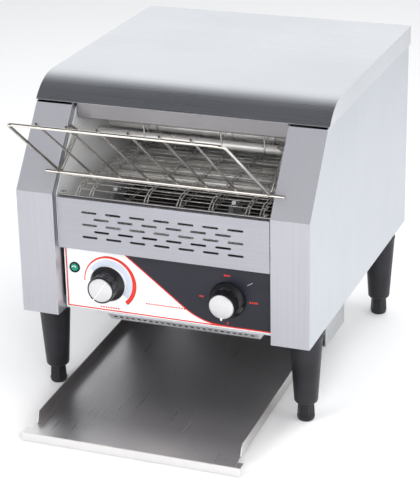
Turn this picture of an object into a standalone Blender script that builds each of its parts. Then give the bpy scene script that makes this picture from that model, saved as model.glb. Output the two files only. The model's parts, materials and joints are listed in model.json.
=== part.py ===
"""Countertop electric conveyor toaster, built as an assembly of separate pieces.

Units are metres, +Z up. The front faces -Y and +X is on the right as seen from the front.
Depths called "back" are measured rearwards from the front face of the two columns.
The origin is on the counter, under the middle of the whole object, loading rack and tray included.
"""

import math

import bmesh
import bpy
from mathutils import Matrix, Vector

# Driving dimensions of the casing
WIDTH = 0.368
HALF = WIDTH / 2
TOP_Z = 0.387
BASE_Z = 0.114
BODY_DEPTH = 0.432
FRONT_Y = -0.1596
SHEET = 0.0012
GAP = 0.0004

# Side profile of the casing: vertical column, slanted column, rounded cover
BEND_Z = 0.270
SEAM_BACK = 0.069
SEAM_Z = 0.3615
ARC_RADIUS = 0.062
ARC_TURN = math.radians(53.4)

# Columns, chamber walls and the opening between them
COLUMN_INNER_X = 0.1353
RETURN_DEPTH = 0.020
CHAMBER_X = 0.1336
OPENING_X = 0.1325
INSET = SHEET + GAP

# Conveyor
SHAFT_Z = 0.2435
IDLER_BACK = 0.0473
BELT_PITCHES_PER_TURN = 13
BELT_RADIUS = 0.0263
BELT_PITCH = 2 * math.pi * BELT_RADIUS / BELT_PITCHES_PER_TURN
BELT_RUN_PITCHES = 22
DRIVE_BACK = IDLER_BACK + BELT_RUN_PITCHES * BELT_PITCH
BELT_THICKNESS = 0.0016
BELT_BAR = 0.0022
BELT_STRIPS = (-0.119, 0.0, 0.119)
BELT_STRIP_WIDTH = 0.0026
SPROCKET_X = (-0.075, 0.075)
SPROCKET_TIP = 0.0246
SPROCKET_ROOT = 0.0205
SHAFT_RADIUS = 0.005
SHAFT_END_X = 0.152
SHAFT_DRIVE_STUB = 0.004
SPROCKET_WIDTH = 0.005
BORE_PLAY = 0.0003
BUSH_RADIUS = 0.009
BUSH_FLANGE_RADIUS = 0.012
BUSH_FLANGE_LOW = 0.0029
BUSH_LENGTH = 0.0055

# Chain drive in the right side compartment
CHAIN_X = 0.149
CHAIN_WIDTH = 0.005
CHAIN_HEIGHT = 0.005
CHAIN_PITCH = 0.00635
CHAIN_WHEEL_WIDTH = 0.003
TOOTH_CLEARANCE = 0.0012
DRIVE_TEETH = 20
MOTOR_TEETH = 10
MOTOR_BACK = 0.262
MOTOR_Z = 0.160
MOTOR_SHAFT_RADIUS = 0.004
MOTOR_HOLE_RADIUS = 0.0065
GEARBOX_INNER_X = 0.098
GEARBOX_HALF_DEPTH = 0.030
GEARBOX_LOW_Z = 0.124
GEARBOX_HIGH_Z = 0.196
CAN_INNER_X = 0.050
CAN_OUTER_X = 0.100
CAN_RADIUS = 0.026

# Heaters
HEATER_RADIUS = 0.0055
HEATER_HOLE_PLAY = 0.0006
HEATER_PIN_RADIUS = 0.0018
HEATER_PIN_END_X = 0.154
HEATER_CERAMIC_RADIUS = 0.0085
HEATER_CERAMIC_END_X = 0.147
LOWER_HEATERS = (0.168, 0.197, 0.226, 0.255)
LOWER_HEATER_Z = 0.240
UPPER_HEATERS = (0.135, 0.175, 0.215)
UPPER_HEATER_Z = 0.305
SHIELD_SHEET = 0.001
REFLECTOR_Z = 0.3335
LOWER_SHIELD_Z = 0.205

# Front panels
VENT_BACK = 0.006
VENT_LOW_Z = 0.201
VENT_HIGH_Z = 0.267
VENT_SLOT_LENGTH = 0.019
VENT_SLOT_HEIGHT = 0.0026
VENT_SLOT_PITCH = 0.0305
VENT_ROW_PITCH = 0.0078
VENT_TOP_ROW_Z = 0.2495
VENT_LONG_ROW = 7
VENT_ROWS = 5
VENT_SHELF = (0.0165, 0.2655)
VENT_SHELF_DROP = 0.008
CONTROL_BACK = 0.019
CONTROL_LOW_Z = 0.119
CONTROL_HIGH_Z = 0.1985
CONTROL_LEDGE = 0.016
OVERLAY_THICKNESS = 0.0005

# Controls
KNOB_X = 0.0765
KNOB_Z = 0.156
KNOB_SKIRT_RADIUS = 0.0225
KNOB_CAP_RADIUS = 0.0165
KNOB_FACE_BACK = -0.0055
KNOB_FLUTES = 10
KNOB_STEM_RADIUS = 0.0035
KNOB_STEM_HOLE = 0.0050
SWITCH_BACK = CONTROL_BACK + 0.0045
LAMP_X = -0.119
LAMP_Z = 0.172
LAMP_RADIUS = 0.0068
LAMP_BODY_RADIUS = 0.0052
LAMP_HOLE_RADIUS = 0.0058

# Loading rack: upper rail, lower rail on the slanted columns, arms inside the opening
RACK_RADIUS = 0.002
RACK_ROD_RADIUS = 0.0014
RACK_BEND_RADIUS = 0.006
RACK_HOOK = ((0.048, 0.340), (0.068, 0.328))
RACK_RAIL_STEP = 0.0055
RACK_ROD_LIFT = 0.0024
RACK_ROD_OVERHANG = 0.004
RACK_UPPER = (-0.119, 0.395)
RACK_LOWER = (0.0148, 0.2934)
RACK_UPPER_X = 0.1255
RACK_ARM_X = 0.1300
RACK_LOWER_X = 0.1485
RACK_RODS = 6

# Toast tray and return chute
TRAY_SHEET = 0.001
TRAY_LIP_DECK = 0.012
TRAY_FRONT_BACK = -0.111
TRAY_REAR_BACK = 0.300
TRAY_FRONT_Z = 0.0110
TRAY_REAR_Z = 0.0270
TRAY_X = 0.1285
TRAY_LIP_X = 0.1365
TRAY_WALL = 0.013
TRAY_WALL_START = -0.087
TRAY_WALL_END = 0.281
CHUTE_BACK = 0.4225
CHUTE_RADIUS = 0.070
CHUTE_ARC_Z = 0.118
CHUTE_TURN = math.radians(-80)
CHUTE_SLOPE = math.radians(10)
CHUTE_RUN = 0.080
CHUTE_HIGH_Z = 0.268

# Legs and levelling feet
LEG_X = 0.1635
LEG_BACKS = (0.047, 0.372)
LEG_TOP_RADIUS = 0.0195
LEG_LOW_RADIUS = 0.0140
LEG_LOW_Z = 0.0240
FOOT_RADIUS = 0.0112
FOOT_STEM_RADIUS = 0.0040
FOOT_STEM_LENGTH = 0.028
LEG_BORE_DEPTH = 0.036

# Cooling fan, flat over the bottom intake
FAN_X = -0.020
FAN_BACK = 0.130
FAN_SIDE = 0.080
FAN_LOW_Z = 0.1172
FAN_HIGH_Z = 0.1422
FAN_BORE = 0.0370
FAN_BLADES = 7
FAN_BLADE_TILT = math.radians(42)
FAN_HUB_RADIUS = 0.016

# Rear panel, its cable gland and its earth stud
REAR_PANEL_BACK = BODY_DEPTH - 0.0044
LOUVRE_ROWS = 4
LOUVRE_COLUMNS = 7
LOUVRE_PITCH = 0.034
LOUVRE_ROW_PITCH = 0.014
LOUVRE_LOW_Z = 0.300
LOUVRE_SIZE = (0.024, 0.0035)
GLAND_X = -0.158
GLAND_Z = 0.150
GLAND_RADIUS = 0.0085
EARTH_X = 0.158
EARTH_Z = 0.135
EARTH_RADIUS = 0.0030

# Bottom pan and the perforated guard under the fan intake
PAN_FRONT = 0.0215
PAN_REAR = 0.330
PAN_LOW_Z = BASE_Z + SHEET + GAP
PAN_LIP_Z = 0.131
GUARD_FRONT = 0.059
GUARD_REAR = 0.200
GUARD_SLANT = 0.012
GUARD_X = 0.104
GUARD_BOTTOM_X = 0.098
GUARD_HIGH_Z = BASE_Z - GAP
GUARD_LOW_Z = 0.084
GUARD_HOLES = 24
GUARD_HOLE_SIDE = 0.0046
GUARD_HOLE_PITCH = 0.0078

# Tray runners
RUNNER_WEB_X = 0.1390
RUNNER_LEDGE_X = 0.1270
RUNNER_LEDGE_Z = 0.0190
RUNNER_FRONT = 0.205
RUNNER_REAR = 0.288
RUNNER_FLANGE = 0.012

# Facets of large and small round pieces, the edge angle that stays sharp, and how far cutters overrun
ROUND = 16
SMALL_ROUND = 12
SHARP_ANGLE = math.radians(35)
OVERRUN = 0.01

for old in list(bpy.data.objects):
    bpy.data.objects.remove(old, do_unlink=True)

PARTS = bpy.data.collections.new("conveyor_toaster")
CUTTERS = bpy.data.collections.new("cutters")
bpy.context.scene.collection.children.link(PARTS)
bpy.context.scene.collection.children.link(CUTTERS)


def material(name, colour, metallic, roughness):
    """Return a Principled material."""
    made = bpy.data.materials.new(name)
    made.use_nodes = True
    shader = made.node_tree.nodes["Principled BSDF"]
    shader.inputs["Base Color"].default_value = (*colour, 1.0)
    shader.inputs["Metallic"].default_value = metallic
    shader.inputs["Roughness"].default_value = roughness
    return made


STAINLESS = material("stainless_steel", (0.62, 0.63, 0.66), 1.0, 0.32)
POLISHED = material("polished_steel", (0.72, 0.72, 0.73), 1.0, 0.15)
DARK_STEEL = material("dark_steel", (0.20, 0.19, 0.18), 1.0, 0.35)
WIRE = material("chromed_wire", (0.75, 0.74, 0.70), 1.0, 0.18)
BLACK_PLASTIC = material("black_plastic", (0.02, 0.02, 0.025), 0.0, 0.35)
OVERLAY = material("printed_overlay", (0.85, 0.85, 0.87), 0.0, 0.30)
GREEN_LENS = material("green_lens", (0.05, 0.35, 0.25), 0.0, 0.12)
QUARTZ = material("heater_tube", (0.85, 0.84, 0.80), 0.3, 0.15)
BRONZE = material("sintered_bronze", (0.55, 0.38, 0.20), 1.0, 0.40)
ZINC = material("zinc_plate", (0.55, 0.56, 0.58), 1.0, 0.40)
CERAMIC = material("white_ceramic", (0.80, 0.78, 0.72), 0.0, 0.50)


def row_y(back):
    """World Y of a depth measured from the column front."""
    return back + FRONT_Y


def add(name, mesh, made_of, collection=PARTS):
    """Link a mesh as an object with its material."""
    made = bpy.data.objects.new(name, mesh)
    collection.objects.link(made)
    if made_of is not None:
        mesh.materials.clear()
        mesh.materials.append(made_of)
    return made


def as_cutter(piece):
    """Mark a helper solid so that it is never part of the model."""
    piece.hide_render = True
    piece.display_type = "WIRE"
    return piece


def block(name, low, high, made_of=None, collection=PARTS):
    """A box between two corners given as (x, back, z)."""
    low = Vector((low[0], row_y(low[1]), low[2]))
    high = Vector((high[0], row_y(high[1]), high[2]))
    shape = bmesh.new()
    bmesh.ops.create_cube(shape, size=1.0)
    bmesh.ops.scale(shape, vec=high - low, verts=shape.verts)
    bmesh.ops.translate(shape, vec=(high + low) / 2, verts=shape.verts)
    mesh = bpy.data.meshes.new(name)
    shape.to_mesh(mesh)
    shape.free()
    return add(name, mesh, made_of, collection)


AXIS_TURN = {
    "X": Matrix.Rotation(math.radians(90), 4, "Y"),
    "Y": Matrix.Rotation(math.radians(-90), 4, "X"),
    "Z": Matrix.Identity(4),
}


def rod(name, start, end, radius, axis, made_of=None, collection=PARTS, sides=ROUND, end_radius=None):
    """A straight round bar along an axis; start is (x, back, z) and end the far coordinate."""
    centre = Vector((start[0], row_y(start[1]), start[2]))
    far = row_y(end) if axis == "Y" else end
    near = centre["XYZ".index(axis)]
    length = far - near
    shape = bmesh.new()
    bmesh.ops.create_cone(
        shape,
        cap_ends=True,
        segments=sides,
        radius1=radius,
        radius2=radius if end_radius is None else end_radius,
        depth=length,
    )
    bmesh.ops.translate(shape, vec=(0, 0, length / 2), verts=shape.verts)
    bmesh.ops.transform(shape, matrix=AXIS_TURN[axis], verts=shape.verts)
    mesh = bpy.data.meshes.new(name)
    shape.to_mesh(mesh)
    shape.free()
    made = add(name, mesh, made_of, collection)
    made.location = centre
    return made


def mesh_of_curve(curve_object, name, made_of, collection):
    """Turn a curve object into a welded mesh object and remove the curve."""
    bpy.context.view_layer.update()
    evaluated = curve_object.evaluated_get(bpy.context.evaluated_depsgraph_get())
    mesh = bpy.data.meshes.new_from_object(evaluated)
    shape = bmesh.new()
    shape.from_mesh(mesh)
    bmesh.ops.remove_doubles(shape, verts=shape.verts, dist=0.00001)
    bmesh.ops.recalc_face_normals(shape, faces=shape.faces)
    shape.to_mesh(mesh)
    shape.free()
    mesh.name = name
    made = add(name, mesh, made_of, collection)
    made.matrix_world = curve_object.matrix_world.copy()
    bpy.data.objects.remove(curve_object, do_unlink=True)
    return made


def outline(name, loops, low, high, axis, made_of=None, collection=PARTS):
    """Extrude closed flat loops between two coordinates of an axis.

    axis X takes (back, z) points, axis Y takes (x, z) points and axis Z takes (x, back) points.
    """
    curve = bpy.data.curves.new(name, "CURVE")
    curve.dimensions = "2D"
    curve.fill_mode = "BOTH"
    curve.extrude = abs(high - low) / 2
    for loop in loops:
        spline = curve.splines.new("POLY")
        spline.points.add(len(loop) - 1)
        for point, (u, v) in zip(spline.points, loop):
            point.co = (u, v, 0.0, 1.0)
        spline.use_cyclic_u = True
    holder = bpy.data.objects.new(name + "_curve", curve)
    bpy.context.scene.collection.objects.link(holder)
    middle = (low + high) / 2
    if axis == "X":
        columns = Matrix(((0, 0, 1, middle), (1, 0, 0, FRONT_Y), (0, 1, 0, 0), (0, 0, 0, 1)))
    elif axis == "Y":
        columns = Matrix(((1, 0, 0, 0), (0, 0, -1, row_y(middle)), (0, 1, 0, 0), (0, 0, 0, 1)))
    else:
        columns = Matrix(((1, 0, 0, 0), (0, 1, 0, FRONT_Y), (0, 0, 1, middle), (0, 0, 0, 1)))
    holder.matrix_world = columns
    return mesh_of_curve(holder, name, made_of, collection)


def folded_sheet(name, profile, half_width, made_of, thickness=SHEET, offset=-1.0):
    """A sheet folded along a (back, z) profile and as wide as +-half_width in X."""
    shape = bmesh.new()
    rows = [
        [shape.verts.new((side * half_width, row_y(back), z)) for side in (-1, 1)]
        for back, z in profile
    ]
    for first, second in zip(rows, rows[1:]):
        shape.faces.new((first[0], first[1], second[1], second[0]))
    mesh = bpy.data.meshes.new(name)
    shape.to_mesh(mesh)
    shape.free()
    made = add(name, mesh, made_of)
    solid = made.modifiers.new("thickness", "SOLIDIFY")
    solid.thickness = thickness
    solid.offset = offset
    solid.use_even_offset = True
    return made


def combine(piece, other, operation):
    """Join another solid to a piece, or cut it away, with an exact Boolean."""
    boolean = piece.modifiers.new(other.name, "BOOLEAN")
    boolean.operation = operation
    boolean.solver = "EXACT"
    boolean.object = other
    as_cutter(other)
    return piece


def joined_tools(name, tools):
    """Join separate, non-touching cutters into one object."""
    shape = bmesh.new()
    for tool in tools:
        bpy.context.view_layer.update()
        before = len(shape.verts)
        shape.from_mesh(tool.data)
        shape.verts.ensure_lookup_table()
        bmesh.ops.transform(shape, matrix=tool.matrix_world, verts=shape.verts[before:])
        bpy.data.objects.remove(tool, do_unlink=True)
    mesh = bpy.data.meshes.new(name)
    shape.to_mesh(mesh)
    shape.free()
    return as_cutter(add(name, mesh, None, CUTTERS))


def smooth(piece):
    """Shade a round piece smooth, keeping its sharp edges."""
    piece.data.shade_smooth()
    piece.data.set_sharp_from_angle(angle=SHARP_ANGLE)
    return piece


def turned(name, profile, centre, axis, made_of, steps=ROUND):
    """A turned piece: (radius, height) profile from top to bottom, set along an axis."""
    mesh = bpy.data.meshes.new(name)
    mesh.from_pydata([(radius, 0.0, height) for radius, height in profile],
                     [(i, i + 1) for i in range(len(profile) - 1)], [])
    made = add(name, mesh, made_of)
    screw = made.modifiers.new("turn", "SCREW")
    screw.axis = "Z"
    screw.steps = steps
    screw.render_steps = steps
    screw.use_merge_vertices = True
    screw.merge_threshold = 0.00001
    screw.use_smooth_shade = True
    made.matrix_world = Matrix.Translation((centre[0], row_y(centre[1]), centre[2])) @ AXIS_TURN[axis]
    return made


def arc(centre, radius, start, end, steps):
    """Points along an arc in the plane of the profile."""
    return [
        (centre[0] + radius * math.cos(start + (end - start) * i / steps),
         centre[1] + radius * math.sin(start + (end - start) * i / steps))
        for i in range(steps + 1)
    ]


def cover_profile(inset, steps=8):
    """Upper outline from the front seam over the rounded edge, set in by a distance."""
    middle = (SEAM_BACK + ARC_RADIUS * math.sin(ARC_TURN), TOP_Z - ARC_RADIUS)
    return arc(middle, ARC_RADIUS - inset, math.pi / 2 + ARC_TURN, math.pi / 2, steps)


def slant_inset(inset):
    """Points of the column line set back by a distance: its bend and its upper end."""
    slope = math.atan2(SEAM_Z - BEND_Z, SEAM_BACK)
    bend_z = BEND_Z - inset * math.tan((math.pi / 2 - slope) / 2)
    seam = (SEAM_BACK + inset * math.sin(slope), SEAM_Z - inset * math.cos(slope))
    return (inset, bend_z), seam


def slot_row(tag, centres, z, length, height, low_back, high_back):
    """Cutters for a row of slots through an upright sheet."""
    return [
        block(f"{tag}_{z:.4f}_{x:.4f}", (x - length / 2, low_back, z - height / 2),
              (x + length / 2, high_back, z + height / 2), None, CUTTERS)
        for x in centres
    ]


def spread(count, pitch):
    """Centres of evenly spaced items around zero."""
    return [(i - (count - 1) / 2) * pitch for i in range(count)]


# ---------------------------------------------------------------- casing


def side_panel(name, side):
    """Side sheet with its front column, inner return flange and bottom flange in one folding."""
    rear = BODY_DEPTH - 0.003
    beyond = rear + 2 * OVERRUN
    above = TOP_Z + 2 * OVERRUN
    outer_x = side * (HALF - INSET)
    inner_x = side * COLUMN_INNER_X
    top = cover_profile(INSET)
    seam_cut = (SEAM_BACK - 0.0008, SEAM_Z - 0.001)
    body = [(0.0, BASE_Z), (0.0, BEND_Z), seam_cut, (top[0][0], seam_cut[1])]
    body += top + [(rear, TOP_Z - INSET), (rear, BASE_Z)]
    panel = outline(name, [body], min(outer_x, inner_x), max(outer_x, inner_x), "X", STAINLESS)
    bend, seam = slant_inset(SHEET)
    hollow = [(SHEET, BASE_Z + SHEET), bend, (seam[0] - 0.001, seam[1] - 0.0013),
              (SEAM_BACK - 0.03, SEAM_Z - 0.0014), (SEAM_BACK - 0.03, above),
              (beyond, above), (beyond, BASE_Z + SHEET)]
    low_x = side * (COLUMN_INNER_X + SHEET)
    high_x = side * (HALF - INSET - SHEET)
    cavity = outline(name + "_cavity", [hollow], min(low_x, high_x), max(low_x, high_x), "X", None, CUTTERS)
    combine(panel, cavity, "DIFFERENCE")
    bend, seam = slant_inset(RETURN_DEPTH)
    open_back = [(RETURN_DEPTH, BASE_Z + SHEET), bend, seam, (seam[0], above),
                 (beyond, above), (beyond, BASE_Z + SHEET)]
    low_x = side * (COLUMN_INNER_X - OVERRUN)
    high_x = side * (COLUMN_INNER_X + SHEET * 1.5)
    opened = outline(name + "_opened", [open_back], min(low_x, high_x), max(low_x, high_x), "X", None,
                     CUTTERS)
    return combine(panel, opened, "DIFFERENCE")


side_panel("left_side_panel", -1)
side_panel("right_side_panel", 1)


def top_cover():
    """Rounded cover with a flange down each side and a lip at the rear."""
    flange_z = SEAM_Z + 0.0005
    outer = cover_profile(0.0) + [(BODY_DEPTH, TOP_Z), (BODY_DEPTH, flange_z)]
    cover = outline("top_cover", [outer], -HALF, HALF, "X", STAINLESS)
    inner = [(SEAM_BACK + INSET, flange_z - OVERRUN)] + cover_profile(SHEET)
    inner += [(BODY_DEPTH - SHEET, TOP_Z - SHEET), (BODY_DEPTH - SHEET, flange_z - OVERRUN)]
    hollow = outline("top_cover_hollow", [inner], -HALF + SHEET, HALF - SHEET, "X", None, CUTTERS)
    return combine(cover, hollow, "DIFFERENCE")


top_cover()


def rear_panel():
    """Rear sheet with side flanges, louvre slots and the holes for gland and earth stud."""
    half = HALF - INSET - SHEET - GAP
    low_z = BASE_Z + SHEET + GAP
    high_z = TOP_Z - SHEET - 0.0024
    panel = block("rear_panel", (-half, REAR_PANEL_BACK - 0.012, low_z),
                  (half, REAR_PANEL_BACK + SHEET, high_z), STAINLESS)
    hollow = block("rear_panel_hollow", (-half + SHEET, REAR_PANEL_BACK - 0.03, low_z - 0.01),
                   (half - SHEET, REAR_PANEL_BACK, high_z + OVERRUN), None, CUTTERS)
    combine(panel, hollow, "DIFFERENCE")
    near, far = REAR_PANEL_BACK - OVERRUN, REAR_PANEL_BACK + OVERRUN
    slots = []
    for row in range(LOUVRE_ROWS):
        row_z = LOUVRE_LOW_Z + row * LOUVRE_ROW_PITCH
        slots += slot_row("louvre", spread(LOUVRE_COLUMNS, LOUVRE_PITCH), row_z, *LOUVRE_SIZE, near, far)
    slots.append(rod("gland_hole", (GLAND_X, near, GLAND_Z), far, GLAND_RADIUS + GAP, "Y", None, CUTTERS))
    slots.append(rod("earth_hole", (EARTH_X, near, EARTH_Z), far, EARTH_RADIUS + GAP, "Y", None,
                     CUTTERS, SMALL_ROUND))
    return combine(panel, joined_tools("rear_panel_holes", slots), "DIFFERENCE")


rear_panel()


def bottom_pan():
    """Floor of the control compartment, with a turned-up front edge and the fan intake."""
    profile = [(PAN_FRONT, PAN_LIP_Z), (PAN_FRONT, PAN_LOW_Z), (PAN_REAR, PAN_LOW_Z)]
    pan = folded_sheet("bottom_pan", profile, HALF - INSET - SHEET - GAP, STAINLESS, SHEET, 1.0)
    intake = rod("fan_intake", (FAN_X, FAN_BACK, PAN_LOW_Z - OVERRUN), PAN_LOW_Z + OVERRUN,
                 FAN_BORE - 0.002, "Z", None, CUTTERS)
    return combine(pan, intake, "DIFFERENCE")


bottom_pan()


def inner_wall(name, side):
    """Chamber side wall, pierced for the shafts, the heater tubes and the motor shaft."""
    front, high_z = 0.0085, 0.3555
    low_z = PAN_LOW_Z + SHEET + GAP
    bend, seam = slant_inset(front)
    low_front = PAN_FRONT + SHEET + GAP * 2
    rear = REAR_PANEL_BACK - GAP * 2
    shape = [(low_front, low_z), (low_front, CONTROL_HIGH_Z), (front, CONTROL_HIGH_Z), bend,
             (seam[0], high_z), (rear, high_z), (rear, low_z)]
    near = side * CHAMBER_X
    far = side * (CHAMBER_X + SHEET)
    wall = outline(name, [shape], min(near, far), max(near, far), "X", POLISHED)
    start, end = sorted((side * (CHAMBER_X - OVERRUN), side * (CHAMBER_X + OVERRUN)))
    holes = [rod(f"{name}_shaft_{back:.3f}", (start, back, SHAFT_Z), end, BUSH_RADIUS + BORE_PLAY, "X", None,
                 CUTTERS) for back in (IDLER_BACK, DRIVE_BACK)]
    for backs, z in ((LOWER_HEATERS, LOWER_HEATER_Z), (UPPER_HEATERS, UPPER_HEATER_Z)):
        holes += [rod(f"{name}_tube_{back:.3f}", (start, back, z), end, HEATER_RADIUS + HEATER_HOLE_PLAY,
                      "X", None, CUTTERS, SMALL_ROUND) for back in backs]
    if side > 0:
        holes.append(rod(f"{name}_motor", (start, MOTOR_BACK, MOTOR_Z), end, MOTOR_HOLE_RADIUS, "X", None,
                         CUTTERS, SMALL_ROUND))
    return combine(wall, joined_tools(name + "_holes", holes), "DIFFERENCE")


inner_wall("left_inner_wall", -1)
inner_wall("right_inner_wall", 1)


def front_vent_panel():
    """Slotted front panel whose top edge turns back into a narrow shelf before the belt."""
    profile = [(VENT_BACK, VENT_LOW_Z), (VENT_BACK, VENT_HIGH_Z), VENT_SHELF,
               (VENT_SHELF[0], VENT_SHELF[1] - VENT_SHELF_DROP)]
    panel = folded_sheet("front_vent_panel", profile, OPENING_X, STAINLESS)
    slots = []
    for row in range(VENT_ROWS):
        count = VENT_LONG_ROW - row % 2
        slots += slot_row("vent", spread(count, VENT_SLOT_PITCH), VENT_TOP_ROW_Z - row * VENT_ROW_PITCH,
                          VENT_SLOT_LENGTH, VENT_SLOT_HEIGHT, VENT_BACK - OVERRUN, VENT_BACK + 2 * SHEET)
    return combine(panel, joined_tools("vent_slots", slots), "DIFFERENCE")


front_vent_panel()


def control_holes(tag):
    """Cutters for the two knob stems and the pilot lamp."""
    near, far = CONTROL_BACK - OVERRUN, CONTROL_BACK + 0.006
    holes = [rod(f"{tag}_stem_{side}", (side * KNOB_X, near, KNOB_Z), far, KNOB_STEM_HOLE, "Y", None,
                 CUTTERS, SMALL_ROUND) for side in (-1, 1)]
    holes.append(rod(f"{tag}_lamp", (LAMP_X, near, LAMP_Z), far, LAMP_HOLE_RADIUS, "Y", None, CUTTERS,
                     SMALL_ROUND))
    return joined_tools(tag, holes)


def control_panel():
    """Recessed steel panel behind the printed overlay."""
    profile = [(CONTROL_BACK, CONTROL_LOW_Z), (CONTROL_BACK, CONTROL_HIGH_Z),
               (CONTROL_BACK + CONTROL_LEDGE, CONTROL_HIGH_Z)]
    panel = folded_sheet("control_panel", profile, OPENING_X, STAINLESS)
    return combine(panel, control_holes("control_panel_holes"), "DIFFERENCE")


def control_overlay():
    """Thin printed sheet on the control panel."""
    rear = CONTROL_BACK - GAP
    sheet = block("control_overlay", (-OPENING_X, rear - OVERLAY_THICKNESS, CONTROL_LOW_Z + 0.0005),
                  (OPENING_X, rear, CONTROL_HIGH_Z), OVERLAY)
    return combine(sheet, control_holes("control_overlay_holes"), "DIFFERENCE")


control_panel()
control_overlay()

folded_sheet("front_shield", [(0.100, REFLECTOR_Z), (0.0745, 0.3430), (0.0745, SEAM_Z)], OPENING_X,
             POLISHED, SHIELD_SHEET)
folded_sheet("upper_reflector", [(0.104, REFLECTOR_Z), (0.330, REFLECTOR_Z), (0.352, 0.318)], OPENING_X,
             POLISHED, SHIELD_SHEET, 1.0)
lower_shield_profile = [(0.036, LOWER_SHIELD_Z), (PAN_REAR, LOWER_SHIELD_Z), (PAN_REAR, PAN_LOW_Z + 0.002)]
folded_sheet("lower_heat_shield", lower_shield_profile, OPENING_X, POLISHED, SHIELD_SHEET)


def bottom_vent_guard():
    """Perforated box under the fan intake with a slanted front edge."""
    def section(inset, high_z):
        corner = inset * 0.4
        return [(GUARD_FRONT + inset, high_z), (GUARD_FRONT + inset, GUARD_LOW_Z + GUARD_SLANT + corner),
                (GUARD_FRONT + GUARD_SLANT + corner, GUARD_LOW_Z + inset),
                (GUARD_REAR - inset, GUARD_LOW_Z + inset), (GUARD_REAR - inset, high_z)]

    guard = outline("bottom_vent_guard", [section(0.0, GUARD_HIGH_Z)], -GUARD_X, GUARD_X, "X", ZINC)
    for vertex in guard.data.vertices:
        if (guard.matrix_world @ vertex.co).z < BASE_Z - OVERRUN:
            vertex.co.z *= GUARD_BOTTOM_X / GUARD_X
    inner_x = GUARD_BOTTOM_X - SHEET * 1.6
    hollow = outline("guard_hollow", [section(SHEET, GUARD_HIGH_Z + OVERRUN)], -inner_x, inner_x, "X", None,
                     CUTTERS)
    combine(guard, hollow, "DIFFERENCE")
    half = GUARD_HOLE_SIDE / 2
    reach = GUARD_SLANT / 2
    middle = Vector((0.0, row_y(GUARD_FRONT + reach), GUARD_LOW_Z + reach))
    holes = []
    for x in spread(GUARD_HOLES, GUARD_HOLE_PITCH):
        hole = block(f"guard_hole_{x:.4f}", (-half, -reach - FRONT_Y, -half), (half, reach - FRONT_Y, half),
                     None, CUTTERS)
        hole.matrix_world = Matrix.Translation(middle + Vector((x, 0, 0))) @ Matrix.Rotation(
            math.radians(45), 4, "X")
        holes.append(hole)
    return combine(guard, joined_tools("guard_holes", holes), "DIFFERENCE")


bottom_vent_guard()


def toast_chute():
    """Curved sheet that turns the falling toast back towards the front."""
    middle = (CHUTE_BACK - CHUTE_RADIUS, CHUTE_ARC_Z)
    curve = arc(middle, CHUTE_RADIUS, 0.0, CHUTE_TURN, 8)
    end = (curve[-1][0] - CHUTE_RUN * math.cos(CHUTE_SLOPE), curve[-1][1] - CHUTE_RUN * math.sin(CHUTE_SLOPE))
    profile = [(CHUTE_BACK, CHUTE_HIGH_Z)] + curve + [end]
    return folded_sheet("toast_chute", profile, CHAMBER_X - 0.0006, POLISHED, SHIELD_SHEET)


toast_chute()


def tray_runner(name, side):
    """Hanging Z-shaped runner that carries the rear of the tray."""
    web = block(name, (side * RUNNER_WEB_X - SHEET / 2, RUNNER_FRONT, RUNNER_LEDGE_Z),
                (side * RUNNER_WEB_X + SHEET / 2, RUNNER_REAR, BASE_Z - GAP), ZINC)
    inner, outer = sorted((side * RUNNER_LEDGE_X, side * RUNNER_WEB_X))
    ledge = block(name + "_ledge", (inner, RUNNER_FRONT, RUNNER_LEDGE_Z),
                  (outer, RUNNER_REAR, RUNNER_LEDGE_Z + SHEET), None, CUTTERS)
    combine(web, ledge, "UNION")
    inner, outer = sorted((side * RUNNER_WEB_X, side * (RUNNER_WEB_X + RUNNER_FLANGE)))
    flange = block(name + "_flange", (inner, RUNNER_FRONT, BASE_Z - GAP - SHEET),
                   (outer, RUNNER_REAR, BASE_Z - GAP), None, CUTTERS)
    return combine(web, flange, "UNION")


tray_runner("left_tray_runner", -1)
tray_runner("right_tray_runner", 1)


def toast_tray():
    """Sloping tray: floor, turned-down front lip and a low wall along each side."""
    slope = (TRAY_REAR_Z - TRAY_FRONT_Z) / (TRAY_REAR_BACK - TRAY_FRONT_BACK)

    def floor_z(back):
        return TRAY_FRONT_Z + slope * (back - TRAY_FRONT_BACK)

    section = [(TRAY_FRONT_BACK, TRAY_FRONT_Z), (TRAY_REAR_BACK, TRAY_REAR_Z),
               (TRAY_REAR_BACK, TRAY_REAR_Z - TRAY_SHEET), (TRAY_FRONT_BACK, TRAY_FRONT_Z - TRAY_SHEET)]
    tray = outline("toast_tray", [section], -TRAY_X, TRAY_X, "X", DARK_STEEL)
    lip = block("tray_lip", (-TRAY_LIP_X, TRAY_FRONT_BACK - TRAY_SHEET, 0.0),
                (TRAY_LIP_X, TRAY_FRONT_BACK + 0.0003, TRAY_FRONT_Z), None, CUTTERS)
    combine(tray, lip, "UNION")
    deck = block("tray_lip_deck", (-TRAY_LIP_X, TRAY_FRONT_BACK, TRAY_FRONT_Z - TRAY_SHEET),
                 (TRAY_LIP_X, TRAY_FRONT_BACK + TRAY_LIP_DECK, TRAY_FRONT_Z + 0.0003), None, CUTTERS)
    combine(tray, deck, "UNION")
    start_z, end_z = floor_z(TRAY_WALL_START), floor_z(TRAY_WALL_END)
    wall = [(TRAY_WALL_START, start_z - TRAY_SHEET / 2), (TRAY_WALL_START + 0.006, start_z + TRAY_WALL),
            (TRAY_WALL_END, end_z + TRAY_WALL), (TRAY_WALL_END, end_z - TRAY_SHEET / 2)]
    for side in (-1, 1):
        inner, outer = sorted((side * (TRAY_X - TRAY_SHEET), side * TRAY_X))
        side_wall = outline(f"tray_wall_{side}", [wall], inner, outer, "X", None, CUTTERS)
        combine(tray, side_wall, "UNION")
    return tray


toast_tray()

# ---------------------------------------------------------------- legs and feet


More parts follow.
